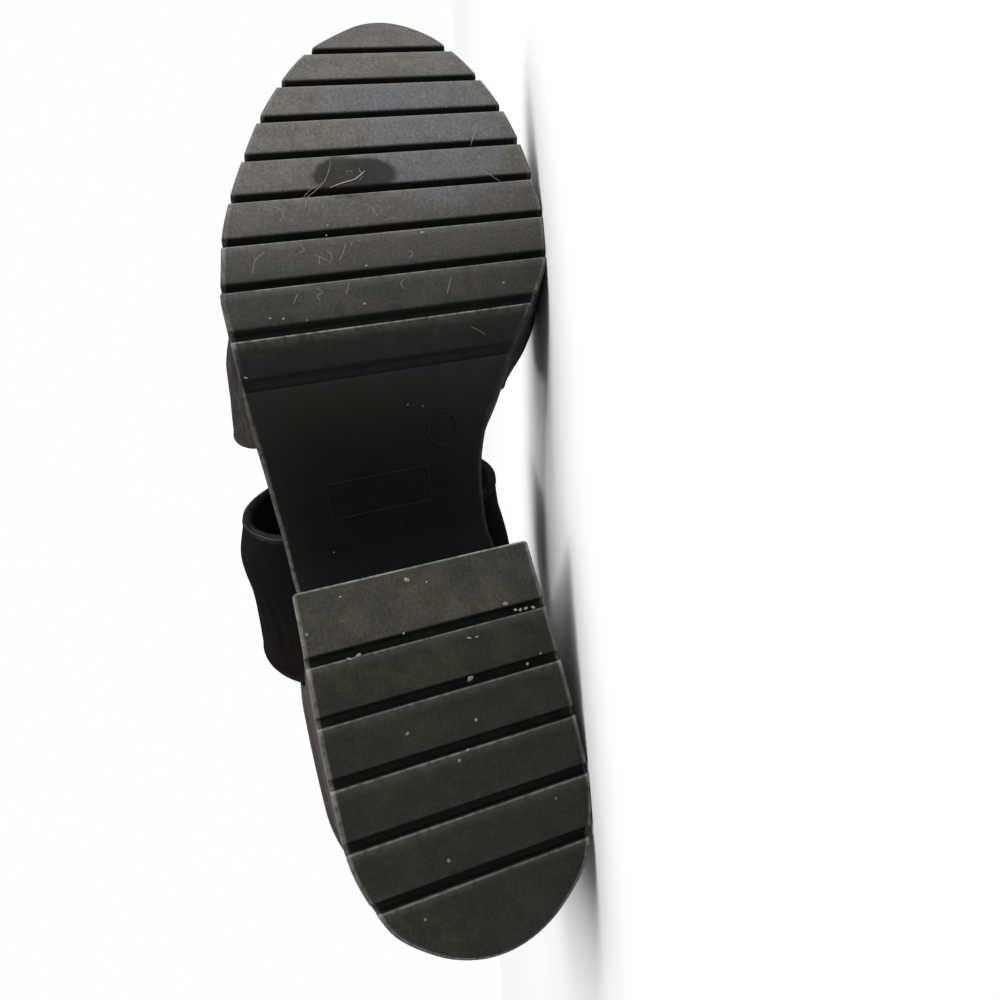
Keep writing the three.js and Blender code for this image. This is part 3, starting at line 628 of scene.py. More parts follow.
def fill_stations(fixed, low, high, step):
    """Stations from low to high: the fixed ones, and even ones between them no more than `step` apart."""
    kept = np.unique(np.round(np.concatenate([[low, high], fixed[(fixed > low) & (fixed < high)]]), 4))
    parts = [np.linspace(a, b, max(2, int(np.ceil((b - a) / step)) + 1))[:-1] for a, b in zip(kept[:-1], kept[1:])]
    return np.concatenate(parts + [[high]])


groove_section = np.concatenate([-GROOVE_SIDE[:0:-1, 0], GROOVE_SIDE[:, 0]])
groove_marks = (GROOVES[:, None] + groove_section).ravel()
waist_marks = WAIST_GROOVE + groove_section
heel_tip = 12 * (1 - np.cos(np.linspace(0, np.pi / 2, 17)))
toe_tip = TOE - 10 * (1 - np.cos(np.linspace(0, np.pi / 2, 19)))
front_round = BREAST - LIP * (1 - np.sin(np.linspace(0, np.pi / 2, 6)))
corner_round = BREAST - CORNER * (1 - np.sin(np.linspace(0, np.pi / 2, 7)))
fillet_marks = WAIST_START + FILLET * (1 - np.cos(np.linspace(0, np.pi / 2, 8)))
heel_x = fill_stations(np.concatenate([groove_marks, heel_tip, front_round, corner_round]), 0, BREAST, 3)
front_x = fill_stations(np.concatenate([groove_marks, waist_marks, toe_tip, fillet_marks]), WAIST_START, TOE, 2.4)

SEAT_SHARE = (underside(WAIST_START) - FILLET) / footbed(WAIST_START)


def wall(x, side, height, out, lean=0.0, corner=0.0):
    """Point of the side wall at a height over the ground: the plan's edge leaned out by the wall's flare and
    moved by `out`; near the breast it is drawn back by the breast's lean and rounded at the corner."""
    at = x - lean
    share = (height - spring(at)) / (footbed(at) - spring(at))
    past = np.clip((x - BREAST + CORNER) / CORNER, 0, 1)
    round_in = CORNER * (1 - np.sqrt(np.clip(1 - past ** 2, 0, 1))) * corner
    px, py = edge_point(at, side, flare(at, share) + out - round_in)
    return stack(px, py, height)


def marks(lip=0.0, groove=0.0, wall=0.0, front=0.0):
    """Masks of a patch of the sole: what is rubbed pale, painted highlight on the lit edges included, the grooves,
    the walls, and all that lies ahead of the heel.
    """
    return {"lip": lip, "groove": groove, "wall": wall, "front": front}


def sole_patches():
    """Tread, walls and top of the sole as one closed skin. Each station along the shoe is a ring: the tread
    line, two walls with rounded feet and shoulders, and the footbed. The heel's rings have a second, lower
    wall that leans back with the breast, and the breast is the grid between its last ones."""
    hx, fx = heel_x[:, None], front_x[:, None]
    draw = LEAN * smooth(hx, 60, BREAST)
    seat = SEAT_SHARE * footbed(hx - draw)
    front_lip = np.clip(hx - (BREAST - LIP), 0, LIP)
    tread = groove_depth(hx) + LIP - np.sqrt(LIP ** 2 - front_lip ** 2)
    rows = np.linspace(0, 1, 15)[1:]
    lift = np.concatenate([LIP * ROUND[:, 0], np.full(14, LIP)])
    part = np.concatenate([np.zeros(5), rows])
    low_height = tread + lift + (seat - tread - LIP) * part
    low_out = np.concatenate([-LIP * ROUND[:, 1], np.zeros(14)])
    low_lean = draw * low_height / seat
    corner = 1 - smooth(low_height / seat, 0.7, 1.0)
    foot_lip = np.interp(np.arange(19), [0, 4, 5], [1, 1, 0])
    # Painted highlight on top of wear: the heel's lips grow paler towards the breast, whose front edge faces the
    # toe-side light.
    edge_fade = np.clip(foot_lip * (0.55 + 0.45 * smooth(hx, 70, 84)) + lug_edge(hx) * np.interp(
        np.arange(19), [0, 5, 6], [1, 1, 0]), 0, 1)

    ahead = fx - WAIST_START
    fillet = FILLET - np.sqrt(FILLET ** 2 - np.clip(FILLET - ahead, 0, FILLET) ** 2)
    waist = np.where(fx < TREAD_END, underside(fx) - np.where(ahead < FILLET, fillet, 0), spring(fx))
    bottom = waist + groove_depth(fx)
    radius = LIP + 1.0 * smooth(ahead, 2, 14) * (1 - smooth(fx, 132, 146))
    turned = smooth(ahead, 0, 4)
    top_rows = np.linspace(0, 1, 12)[1:]

    def upper(base, top, lift_size, out_size):
        """Wall from its base to the top, with a rounded foot of its own size and a rounded shoulder."""
        foot = base + lift_size * ROUND[:, 0]
        body = base + lift_size + (top - SHOULDER - base - lift_size) * top_rows
        shoulder = top - SHOULDER * ROUND[::-1, 0][1:]
        height = np.concatenate([foot, body, shoulder], 1)
        out = np.concatenate([-out_size * ROUND[:, 1], np.zeros_like(body),
                              -SHOULDER * ROUND[::-1, 1][1:] + 0 * base], 1)
        return height, out

    heel_high, heel_out = upper(seat, footbed(hx - draw), LIP + 0 * hx, 0 * hx)
    front_high, front_out = upper(bottom, footbed(fx), radius, turned * radius)
    count = heel_high.shape[1]
    low_rows, high_rows = np.arange(19), np.arange(count)
    front_lip_mask = np.interp(high_rows, [0, 1, 2, 4], [0.1, 0.8, 0.8, 0]) * (0.75 - 0.25 * smooth(fx, 152, 165))
    front_mask = np.clip(
        front_lip_mask + lug_edge(fx) * np.interp(high_rows, [0, 5, 7], [1, 1, 0]) * (fx > 149), 0, 1)
    wall_mask = np.interp(high_rows, [1, 5], [0, 1])
    groove_fade = np.interp(high_rows, [0, 3, 5], [1, 1, 0])

    patches, sides = [], {}
    for side in (1, -1):
        lower = wall(hx, side, low_height, low_out, low_lean, corner)
        high = wall(hx - draw, side, heel_high, heel_out)
        front = wall(fx, side, front_high, front_out)
        sides[side] = (lower, high, front)
        low_fade = np.interp(low_rows, [0, 3, 5], [1, 1, 0])
        patches += [
            (lower, marks(edge_fade, in_groove(hx) * low_fade, np.interp(low_rows, [1, 5], [0, 1]))),
            (high, marks(wall=1.0)),
            # Painted highlight: the outer side's lips get more of the pale mask than the inner side's, which lie in
            # shade.
            (front, marks(front_mask * (0.7 - 0.3 * side), in_groove(fx) * groove_fade, wall_mask, 1.0))]
    share = np.concatenate([[0, 0.005, 0.012], np.linspace(0.035, 0.965, 25), [0.988, 0.995, 1]])
    across = share[None, :, None]

    def between(a, b, shares=across):
        """Grid between two lines of points, straight across."""
        return a[:, None] + (b - a)[:, None] * shares

    low_in, high_in, front_in = sides[1]
    low_out_side, high_out_side, front_out_side = sides[-1]
    rim = np.interp(np.minimum(share, 1 - share), [0, 0.005, 0.012], [0.7, 0.5, 0])
    # Painted highlight: a pale line along the breast's front edge of the heel tread.
    heel_front = smooth(hx, BREAST - 0.75, BREAST - 0.35)
    patches += [
        (between(low_in[:, 0], low_out_side[:, 0]),
         marks(np.clip(0.65 * lug_edge(hx) + rim + heel_front, 0, 1), in_groove(hx))),
        (between(low_in[-1], low_out_side[-1]), marks(np.interp(low_rows, [0, 2, 5], [1, 1, 0])[:, None], front=1.0)),
        (between(front_in[:, 0], front_out_side[:, 0]),
         marks(np.clip(lug_edge(fx) * (fx > 149) + rim * smooth(fx, 140, 152), 0, 1), in_groove(fx), front=1.0))]
    top = np.linspace(0, 1, 13)[None, :, None]
    for near, far in ((high_in, high_out_side), (front_in, front_out_side)):
        patches.append((between(near[:, -1], far[:, -1], top), marks(wall=1.0)))
    return patches


sole = surface_object("sole", sole_patches(), rubber, smooth_angle=np.radians(50))
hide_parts("unit_sole")

# ---- Insole ----


def insole_patches():
    """Sock on the footbed, 3 mm thick with a rounded rim, dished a little under the heel and the ball."""
    x = fill_stations(np.concatenate([heel_tip, toe_tip]), 0, TOE, 3)[:, None]
    lift = np.concatenate([0.3 + 1.0 * ROUND[:, 0], 3.3 - 1.2 * ROUND[::-1, 0]])
    out = np.concatenate([-1.0 * ROUND[:, 1], -1.2 * ROUND[::-1, 1]]) - 4.0
    walls = {}
    for side in (1, -1):
        px, py = edge_point(x, side, flare(x, 1.0) + out)
        walls[side] = stack(px, py, footbed(px) + lift)
    across = np.linspace(0, 1, 33)[None, :, None]
    lower = walls[1][:, :1] + (walls[-1][:, :1] - walls[1][:, :1]) * across
    upper = walls[1][:, -1:] + (walls[-1][:, -1:] - walls[1][:, -1:]) * across
    dish = (4 * across[..., 0] * (1 - across[..., 0])) ** 1.5
    heel_dish = np.exp(-((x - 32) / 26) ** 2)
    ball_dish = np.exp(-((x - 178) / 24) ** 2)
    upper[..., 2] -= dish * (0.9 * heel_dish + 0.8 * ball_dish) * smooth(x, 2, 14) * (1 - smooth(x, 238, 250))
    trodden = dish * (heel_dish + ball_dish)
    return [(walls[1], {"trodden": 0.0}), (walls[-1], {"trodden": 0.0}), (lower, {"trodden": 0.0}),
            (upper, {"trodden": trodden})]


insole = surface_object("insole_sock", insole_patches(), sock_leather)
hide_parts("insole")

# ---- Straps ----

# Ribs across each strap. Vamp: share across, then its feet's setback inside and outside, the crown's setback,
# height and sideways place, and the bulges inside and outside. Band: the same with one setback for both feet.
VAMP_RIBS = np.array([
    (0, 1, 1.06, 0.6, 1, -0.06, 0.9, 1.15), (0.3, 0.72, 0.84, 0.5, 0.9, -0.1, 0.75, 0.94),
    (0.65, 0.36, 0.54, 0.34, 0.76, -0.16, 0.62, 0.62), (1, 0, 0.27, 0.17, 0.66, -0.2, 0.6, 0.52),
])
BAND_RIBS = np.array([
    (0, 1, -0.05, 0.9, 0, 0.5, 1.12), (0.35, 0.65, 0.27, 0.79, 0, 0.85, 1.21),
    (0.7, 0.3, 0.59, 0.67, 0, 1, 1.31), (1, 0, 0.9, 0.56, 0, 1, 1.08),
])
vamp_columns = [curve(VAMP_RIBS[:, 0], VAMP_RIBS[:, i]) for i in range(1, 8)]
band_columns = [curve(BAND_RIBS[:, 0], BAND_RIBS[:, i]) for i in range(1, 7)]


def strap_foot(x, side):
    """Foot of a strap on the sole's top edge, a little inside it."""
    px, py = edge_point(x, side, flare(x, 1.0) - FOOT_INSET)
    return px, py, footbed(px) + GAP


def arch(inner, outer, crown, swells, t):
    """Arch from the inner foot (t 0) over the crown to the outer foot (t 1): half a turn of sine and cosine,
    swelled above each foot by a double sine, leaning ever more towards the crown."""
    turn = np.pi * t
    first = t < 0.5
    foot = [np.where(first, a, b) for a, b in zip(inner, outer)]
    swell = np.where(first, swells[0], -swells[1])
    rise = np.sin(turn)
    y = crown[1] + (foot[1] - crown[1]) * np.abs(np.cos(turn)) + swell * np.abs(np.sin(2 * turn))
    x = foot[0] + (crown[0] - foot[0]) * np.maximum(rise, 0) ** 1.35
    return stack(x, y, foot[2] + (crown[2] - foot[2]) * rise)


def vamp_skin(u, t):
    """Outer face of the vamp band: arches from its rear edge (u 0) to its open front (u 1)."""
    inner, outer, crown, height, sideways, swell_in, swell_out = [column(u) for column in vamp_columns]
    front = TREAD_END + FOREFOOT * VAMP_REACH
    top = (front - VAMP_LENGTH * crown, -BALL_WIDTH * sideways, PLATFORM + VAMP_HEIGHT * height)
    return arch(strap_foot(front - VAMP_LENGTH * inner, 1), strap_foot(front - VAMP_LENGTH * outer, -1), top,
                (VAMP_BULGE * swell_in, VAMP_BULGE * swell_out), t)


def band_skin(u, t):
    """Outer face of the instep band, u 0 at its rear edge and 1 at its front rim."""
    foot, crown, height, sideways, swell_in, swell_out = [column(u) for column in band_columns]
    front = TREAD_END - BAND_SETBACK
    inner, outer = [strap_foot(front - BAND_WIDTH * foot, side) for side in (1, -1)]
    top = (front + BAND_WIDTH * crown, -BALL_WIDTH * sideways, HEEL_HEIGHT + BAND_HEIGHT * height)
    return arch(inner, outer, top, (BAND_BULGE * swell_in, BAND_BULGE * swell_out), t)


def skin_slopes(skin, u, t):
    """Cross product of a strap face's slopes along and across it."""
    across = skin(u + 0.01, t) - skin(u - 0.01, t)
    along = skin(u, np.minimum(1, t + 0.01)) - skin(u, np.maximum(0, t - 0.01))
    return np.cross(along, across)


def skin_normal(skin, u, t):
    """Outward direction of a strap's face, the way its crown points up; level at the feet."""
    half = np.array(0.5)
    normal = skin_slopes(skin, u, t) * (1.0 if skin_slopes(skin, half, half)[2] > 0 else -1.0)
    level = np.broadcast_to((t <= 0) | (t >= 1), normal.shape[:-1])
    normal[..., 2] = np.where(level, 0, normal[..., 2])
    return normal / np.linalg.norm(normal, axis=-1, keepdims=True)


def capped(grid, masks, half):
    """A loop's grid with its masks, and the two strips that close its ends; `half` is where the loop turns back."""
    caps = [(np.stack([grid[row][:half + 1], grid[row][half:][::-1]]),
             {key: values[row][None, :half + 1] for key, values in masks.items()}) for row in (0, -1)]
    return [(grid, masks), *caps]


def strap_patches(skin, wall, width, across, along, relief=None, margin=0.0, lip=0.0, sunk=0.0):
    """Closed strap: its section is a flat loop with half-round edges, carried along the arch. `relief(u, t)`
    lifts the outer face in millimetres. As a cutter its outer face stands out by the margin, its edges reach
    past the strap's by the lip, a share of the width, and its feet are sunk."""
    t = (1 - np.cos(np.pi * np.linspace(0, 1, along + 1))) / 2 * 0.25 + np.linspace(0, 1, along + 1) * 0.75
    edge = wall / 2 / width
    bend = np.linspace(0, np.pi / 2, 5)
    face = np.linspace(edge, 1 - edge, across + 1)[1:-1]
    u_out = np.concatenate([edge - edge * np.cos(bend), face, 1 - edge + edge * np.cos(bend[::-1])])
    round_off = wall / 2 * (1 - np.sin(bend))
    depth_out = np.concatenate([round_off, np.zeros(across - 1), round_off[::-1]])
    u_in, depth_in = u_out[::-1], wall - depth_out[::-1]
    u_all = -lip + (1 + 2 * lip) * np.concatenate([u_out, u_in[1:]])
    depth = np.concatenate([depth_out - margin * (depth_out < wall / 2), depth_in[1:]])
    u, tt = np.broadcast_arrays(u_all[None, :], t[:, None])
    outwards = skin_normal(skin, u, tt)
    lift = 0 if relief is None else relief(u, tt)[..., None] * (depth < wall * 0.6)[None, :, None]
    grid = skin(u, tt) + outwards * (lift - depth[None, :, None])
    if sunk:
        grid = np.concatenate([grid[:1] - [0, 0, sunk], grid, grid[-1:] - [0, 0, sunk]])
        u, tt = np.concatenate([u[:1], u, u[-1:]]), np.concatenate([tt[:1], tt, tt[-1:]])
    face = np.interp(depth_out / wall, [0.3, 0.6], [1, 0])
    outer = np.concatenate([face, 0 * depth_in[1:]])[None, :]
    rim = np.interp(np.minimum(u, 1 - u) * width, [0.9, 2.2], [1, 0])
    masks = {"across": u, "along": tt, "outer": np.broadcast_to(outer, u.shape), "rim": rim}
    return capped(grid, masks, len(u_out) - 1)


def crease(u, t, start, end, depth, width, size):
    """Soft trough between two places on a strap, given as shares across and along it: a bell curve of the
    distance from their line, fading at both ends, with a low ridge on each side."""
    start, end = np.array(start) * size, np.array(end) * size
    run = end - start
    length = np.hypot(*run)
    run = run / length
    du, dt = u * size[0] - start[0], t * size[1] - start[1]
    ahead = (du * run[0] + dt * run[1]) / length
    aside = (dt * run[0] - du * run[1] - 0.06 * length * np.sin(np.pi * np.clip(ahead, 0, 1))) / width
    fade = smooth(ahead, -0.1, 0.3) * (1 - smooth(ahead, 0.7, 1.1))
    return fade * depth * (0.35 * np.exp(-(np.abs(aside) - 1.7) ** 2 * 2.2) - np.exp(-aside ** 2))


# Creases of the straps: start and end as shares across and along, depth and width in millimetres; and the
# width and length of each piece laid flat
VAMP_FLAT, BAND_FLAT, COUNTER_FLAT = np.array([(72.0, 190.0), (44.0, 210.0), (44.0, 80.0)])
VAMP_CREASES = [
    ((0.06, 0.80), (0.62, 0.70), 0.55, 2.6), ((0.02, 0.90), (0.48, 0.83), 0.50, 2.2),
    ((0.30, 0.92), (0.80, 0.84), 0.45, 2.4), ((0.05, 0.22), (0.58, 0.31), 0.55, 2.8),
    ((0.28, 0.08), (0.78, 0.17), 0.45, 2.4), ((0.10, 0.36), (0.30, 0.66), 0.40, 3.6),
    ((0.42, 0.40), (0.56, 0.62), 0.30, 3.2), ((0.66, 0.30), (0.92, 0.38), 0.30, 2.4),
]
BAND_CREASES = [
    ((0.08, 0.88), (0.62, 0.82), 0.35, 2.4), ((0.12, 0.95), (0.60, 0.91), 0.35, 2.2),
    ((0.10, 0.12), (0.80, 0.21), 0.60, 3.0), ((0.20, 0.30), (0.74, 0.36), 0.40, 3.4),
    ((0.15, 0.70), (0.62, 0.66), 0.40, 3.2),
]


def folds(creases, u, t, size):
    return sum(crease(u, t, start, end, depth, width, size) for start, end, depth, width in creases)


def vamp_relief(u, t):
    """Vamp: turned edges, the stitched line inside them, and the creases of the bending foot."""
    edge = np.minimum(u, 1 - u) * VAMP_LENGTH
    seam = -0.22 * np.exp(-((edge - 3.2) / 0.55) ** 2)
    soft = folds(VAMP_CREASES, u, t, VAMP_FLAT) * smooth(edge, 3, 8)
    return 0.22 * np.exp(-(edge / 1.6) ** 2) + seam + soft * smooth(np.minimum(t, 1 - t), 0, 0.05)


def band_relief(u, t):
    """Instep band: a rolled rim 2.4 mm wide along the front, a narrow one behind, fine ribs on the front roll,
    and soft folds between them."""
    front, rear = (1 - u) * BAND_WIDTH, u * BAND_WIDTH
    roll = 0.4 * np.sqrt(np.clip(1 - ((front - 1.2) / 1.2) ** 2, 0, 1))
    roll += 0.08 * np.cos(2 * np.pi * front / 0.8) * (front < 2.3)
    roll -= 0.3 * np.exp(-((front - 2.9) / 0.45) ** 2)
    behind = 0.3 * np.exp(-((rear - 1.0) / 1.1) ** 2) - 0.25 * np.exp(-((rear - 2.9) / 0.5) ** 2)
    soft = folds(BAND_CREASES, u, t, BAND_FLAT)
    return roll + behind + soft * smooth(front, 4, 9) * smooth(rear, 3, 7)


vamp = surface_object("vamp_strap", strap_patches(vamp_skin, VAMP_WALL, VAMP_LENGTH, 96, 200, vamp_relief),
                      vamp_leather)
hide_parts("vamp_band")
band = surface_object("instep_strap", strap_patches(band_skin, BAND_WALL, BAND_WIDTH, 84, 190, band_relief),
                      suede)
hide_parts("instep_band")

# ---- Heel counter ----

# Swell of the wall up its height, and the collar's height from the front end round to the back
counter_out = curve([0, 0.2, 0.4, 0.7, 1], [0, 0.95, 1.05, 0.25, -1.1])
collar_height = curve([0, 0.45, 0.78, 0.94, 1], [0.72, 0.74, 0.9, 0.99, 1])

# Creases of the counter's outer face: start and end as (up, round) shares, depth and width in millimetres
COUNTER_CREASES = [
    ((0.62, -0.30), (0.86, -0.46), 0.40, 2.2), ((0.50, -0.16), (0.80, -0.27), 0.35, 2.0),
    ((0.60, 0.28), (0.88, 0.43), 0.40, 2.2), ((0.46, 0.18), (0.78, 0.25), 0.35, 2.0),
    ((0.30, -0.62), (0.62, -0.74), 0.35, 2.4), ((0.32, 0.60), (0.60, 0.72), 0.35, 2.4),
]


def counter_relief(up, turn):
    """Outer face of the counter: a bound collar with its stitched line, a sunk seam down the back between two
    stitched lines, and soft creases at the ankle."""
    below = (1 - up) * 50
    collar = 0.38 * np.exp(-((below - 2.4) / 1.8) ** 2) - 0.28 * np.exp(-((below - 5.4) / 0.55) ** 2)
    aside = np.abs(turn) * 62
    seam = 0.22 * np.exp(-(aside / 2.4) ** 2) - 0.55 * np.exp(-(aside / 0.45) ** 2)
    soft = folds(COUNTER_CREASES, up, turn, COUNTER_FLAT)
    return collar + (seam + soft) * smooth(below, 5, 9) * smooth(up, 0.02, 0.12)


def counter_wall(turn, side, up, inwards, lift):
    """Wall of the counter: turn 0 at the back of the heel and 1 at the front end, up from the footbed to the
    collar; it stands on the sole's top edge, swells outwards by its own curve and leans in towards the back.
    The point lies inside that by `inwards`, through the wall, and outside it by `lift`, the outer face's relief."""
    x = COUNTER_LENGTH * (1 - np.cos(turn * np.pi / 2))
    lean = COLLAR_LEAN * (up * (1 - turn)) ** 2
    px, py = edge_point(x, side, flare(x, 1.0) - FOOT_INSET + COUNTER_SWELL * counter_out(up) - lean - inwards + lift)
    return stack(px, py, footbed(px) + GAP + up * COUNTER_HEIGHT * collar_height(1 - turn))


def counter_patches():
    """Closed shell of the counter, its section a flat loop with a rounded collar edge, carried round the heel."""
    middle = np.linspace(-0.05, 0.05, 25)
    turn = np.concatenate([np.linspace(-1, -0.05, 66)[:-1], middle, np.linspace(0.05, 1, 66)[1:]])
    rise = np.linspace(0, 1, 53)
    bend = np.linspace(0, np.pi, 9)[1:-1]
    up = np.concatenate([rise * 0.972, 0.972 + 0.028 * np.sin(bend), rise[::-1] * 0.972])
    inwards = np.concatenate([0 * rise, COUNTER_WALL / 2 * (1 - np.cos(bend)), COUNTER_WALL + 0 * rise])
    outer = np.interp(inwards, [0.6, 1.4], [1, 0])
    halves = []
    for side in (-1, 1):
        half_turn = turn[turn * side >= 0][:, None]
        lift = counter_relief(up[None], half_turn) * (inwards < 1.0)
        halves.append(counter_wall(np.abs(half_turn), side, up[None], inwards[None], lift))
    grid = np.concatenate([halves[0], halves[1][1:]])
    masks = {"across": up, "along": turn[:, None], "outer": outer, "rim": smooth(up, 0.93, 0.985)}
    masks = {key: np.broadcast_to(values, grid.shape[:2]) for key, values in masks.items()}
    foot = (np.stack([grid[:, 0], grid[:, -1]]), {"across": 0.0, "along": turn[None], "outer": 0.0, "rim": 0.0})
    return [*capped(grid, masks, len(up) // 2), foot]


counter = surface_object("counter_shell", counter_patches(), counter_leather)
# The counter's front ends are cut off along the instep band, 0.3 mm clear of its inner face and 0.6 mm of its edges
cutter_patches = strap_patches(
    band_skin, BAND_WALL + 0.3, BAND_WIDTH, 24, 90, margin=6.0, lip=0.6 / BAND_WIDTH, sunk=6.0)
cutter = surface_object("cutter", cutter_patches, counter_leather)
cut = counter.modifiers.new("under_band", "BOOLEAN")
cut.operation = "DIFFERENCE"
cut.solver = "EXACT"
cut.use_self = True
cut.object = cutter
bpy.context.view_layer.update()
trimmed = bpy.data.meshes.new_from_object(counter.evaluated_get(bpy.context.evaluated_depsgraph_get()))
counter.modifiers.clear()
counter.data = trimmed
bpy.data.objects.remove(cutter)
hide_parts("heel_counter")

# ---- Stitches, marks of the mould, fibres and crumbs ----


def bars(paths, ups, wide, high, sides, closed=False, masks=None):
    """Rounded bars along paths (count, points, 3): an oval section, `wide` across the surface and `high` out of
    it, carried along each path, and drawn to a point at both tips unless the path is closed."""
    paths = np.asarray(paths, float)
    ups = np.broadcast_to(ups, paths.shape)
    if closed:
        ahead = np.roll(paths, -1, 1) - np.roll(paths, 1, 1)
        paths, ups, ahead = [np.concatenate([a, a[:, :1]], 1) for a in (paths, ups, ahead)]
        taper = np.ones(paths.shape[1])
    else:
        ahead = np.gradient(paths, axis=1)
        s = np.linspace(-1, 1, paths.shape[1])
        taper = np.sqrt(np.clip(1 - s ** 6, 0, 1))
    aside = np.cross(ups, ahead)
    aside /= np.linalg.norm(aside, axis=-1, keepdims=True)
    turn = np.linspace(0, 2 * np.pi, sides + 1)
    section = (np.cos(turn)[:, None] * wide / 2 * aside[..., None, :] +
               np.sin(turn)[:, None] * high / 2 * ups[..., None, :])
    grids = paths[..., None, :] + section * taper[None, :, None, None]
    return [(grid, masks or {}) for grid in grids]


STITCH_SHARE = np.linspace(0, 1, 6)     # places of a stitch's points along it


def stitch_run(line, pitch, margin):
    """Length along a line at each of its points, and the lengths at which its stitches' points lie, evenly
    spaced from a margin at both ends."""
    run = np.concatenate([[0], np.cumsum(np.linalg.norm(np.diff(line, axis=0), axis=1))])
    return run, np.arange(margin, run[-1] - margin - STITCH, pitch)[:, None] + STITCH_SHARE * STITCH


def strap_row(skin, relief, u, pitch):
    """Stitches along a strap at a share u across it, each a short bowed path whose ends dip into the face."""
    t = np.linspace(0, 1, 801)
    us = np.full(801, u)
    run, reach = stitch_run(skin(us, t) + skin_normal(skin, us, t) * relief(us, t)[:, None], pitch, 6.0)
    at = np.interp(reach, run, t)
    us = np.full(at.shape, u)
    ups = skin_normal(skin, us, at)
    bow = 0.26 * np.sin(np.pi * STITCH_SHARE) - 0.12
    return skin(us, at) + ups * (relief(us, at) + bow)[..., None], ups


def counter_row(turns, ups_share, pitch):
    """Stitches along a line on the counter's outer face, given as its turns and heights."""
    def face(turn, up):
        side = np.where(turn < 0, -1, 1)
        out = [counter_wall(np.abs(turn), s, up, 0.0, counter_relief(up, turn)) for s in (-1, 1)]
        return np.where((side < 0)[..., None], out[0], out[1])

    run, reach = stitch_run(face(turns, ups_share), pitch, 2.0)
    turn, up = np.interp(reach, run, turns), np.interp(reach, run, ups_share)
    here = face(turn, up)
    along, rise = face(turn + 0.004, up) - here, face(turn, up + 0.004) - here
    ups = np.cross(along, rise)
    ups /= np.linalg.norm(ups, axis=-1, keepdims=True)
    centre = np.array([40.0, 0.0, 0.0])
    outward = np.sign(np.sum(ups * (here - centre) * [1, 1, 0], -1, keepdims=True))
    bow = 0.24 * np.sin(np.pi * STITCH_SHARE) - 0.10
    return here + ups * outward * bow[:, None], ups * outward


stitch_rows = [strap_row(vamp_skin, vamp_relief, u, 3.4) for u in (0.04, 0.96)]
stitch_rows.append(counter_row(np.linspace(-0.60, 0.60, 301), np.full(301, 0.892), 3.2))
for turn_at in (-0.032, 0.032):
    stitch_rows.append(counter_row(np.full(101, turn_at), np.linspace(0.05, 0.86, 101), 3.2))
stitch_patches = [patch for path, ups in stitch_rows for patch in bars(path, ups, 0.55, 0.4, 5)]
surface_object("stitches", stitch_patches, thread)


def waist_lines(corners, wide, high):
    """Raised line on the waist's underside through points given in the shoe's x and y."""
    path = stack(corners[:, 0], corners[:, 1], underside(corners[:, 0]))
    slope = underside(corners[:, 0] + 0.5) - underside(corners[:, 0] - 0.5)
    ups = stack(slope, 0 * slope, -1.0)
    ups /= np.linalg.norm(ups, axis=-1, keepdims=True)
    return bars(path[None], ups[None], wide, high, 8, True, marks(lip=0.05, front=1.0))


circle = np.linspace(0, 2 * np.pi, 49)[:-1]
ring_points = stack(127.2 + 3.6 * np.cos(circle), 18.2 + 4.2 * np.sin(circle), 0.0)
frame_side = np.array([(119.6, -16.6), (119.6, 12.6), (111.2, 12.6), (111.2, -16.6), (119.6, -16.6)])
frame_run = np.linspace(0, 4, 161)[:-1]
frame_points = stack(*[np.interp(frame_run, np.arange(5), column) for column in frame_side.T], 0.0)
surface_object("waist_mould_marks", waist_lines(ring_points, 0.8, 0.36) + waist_lines(frame_points, 0.7, 0.36),
               rubber)


def tread_height(x):
    """Height of the tread at x: flat under the heel, with the toe's lift ahead of it, and the waist between."""
    return np.where(x > TREAD_END, spring(x), np.where(x > BREAST, underside(x), 0.0))


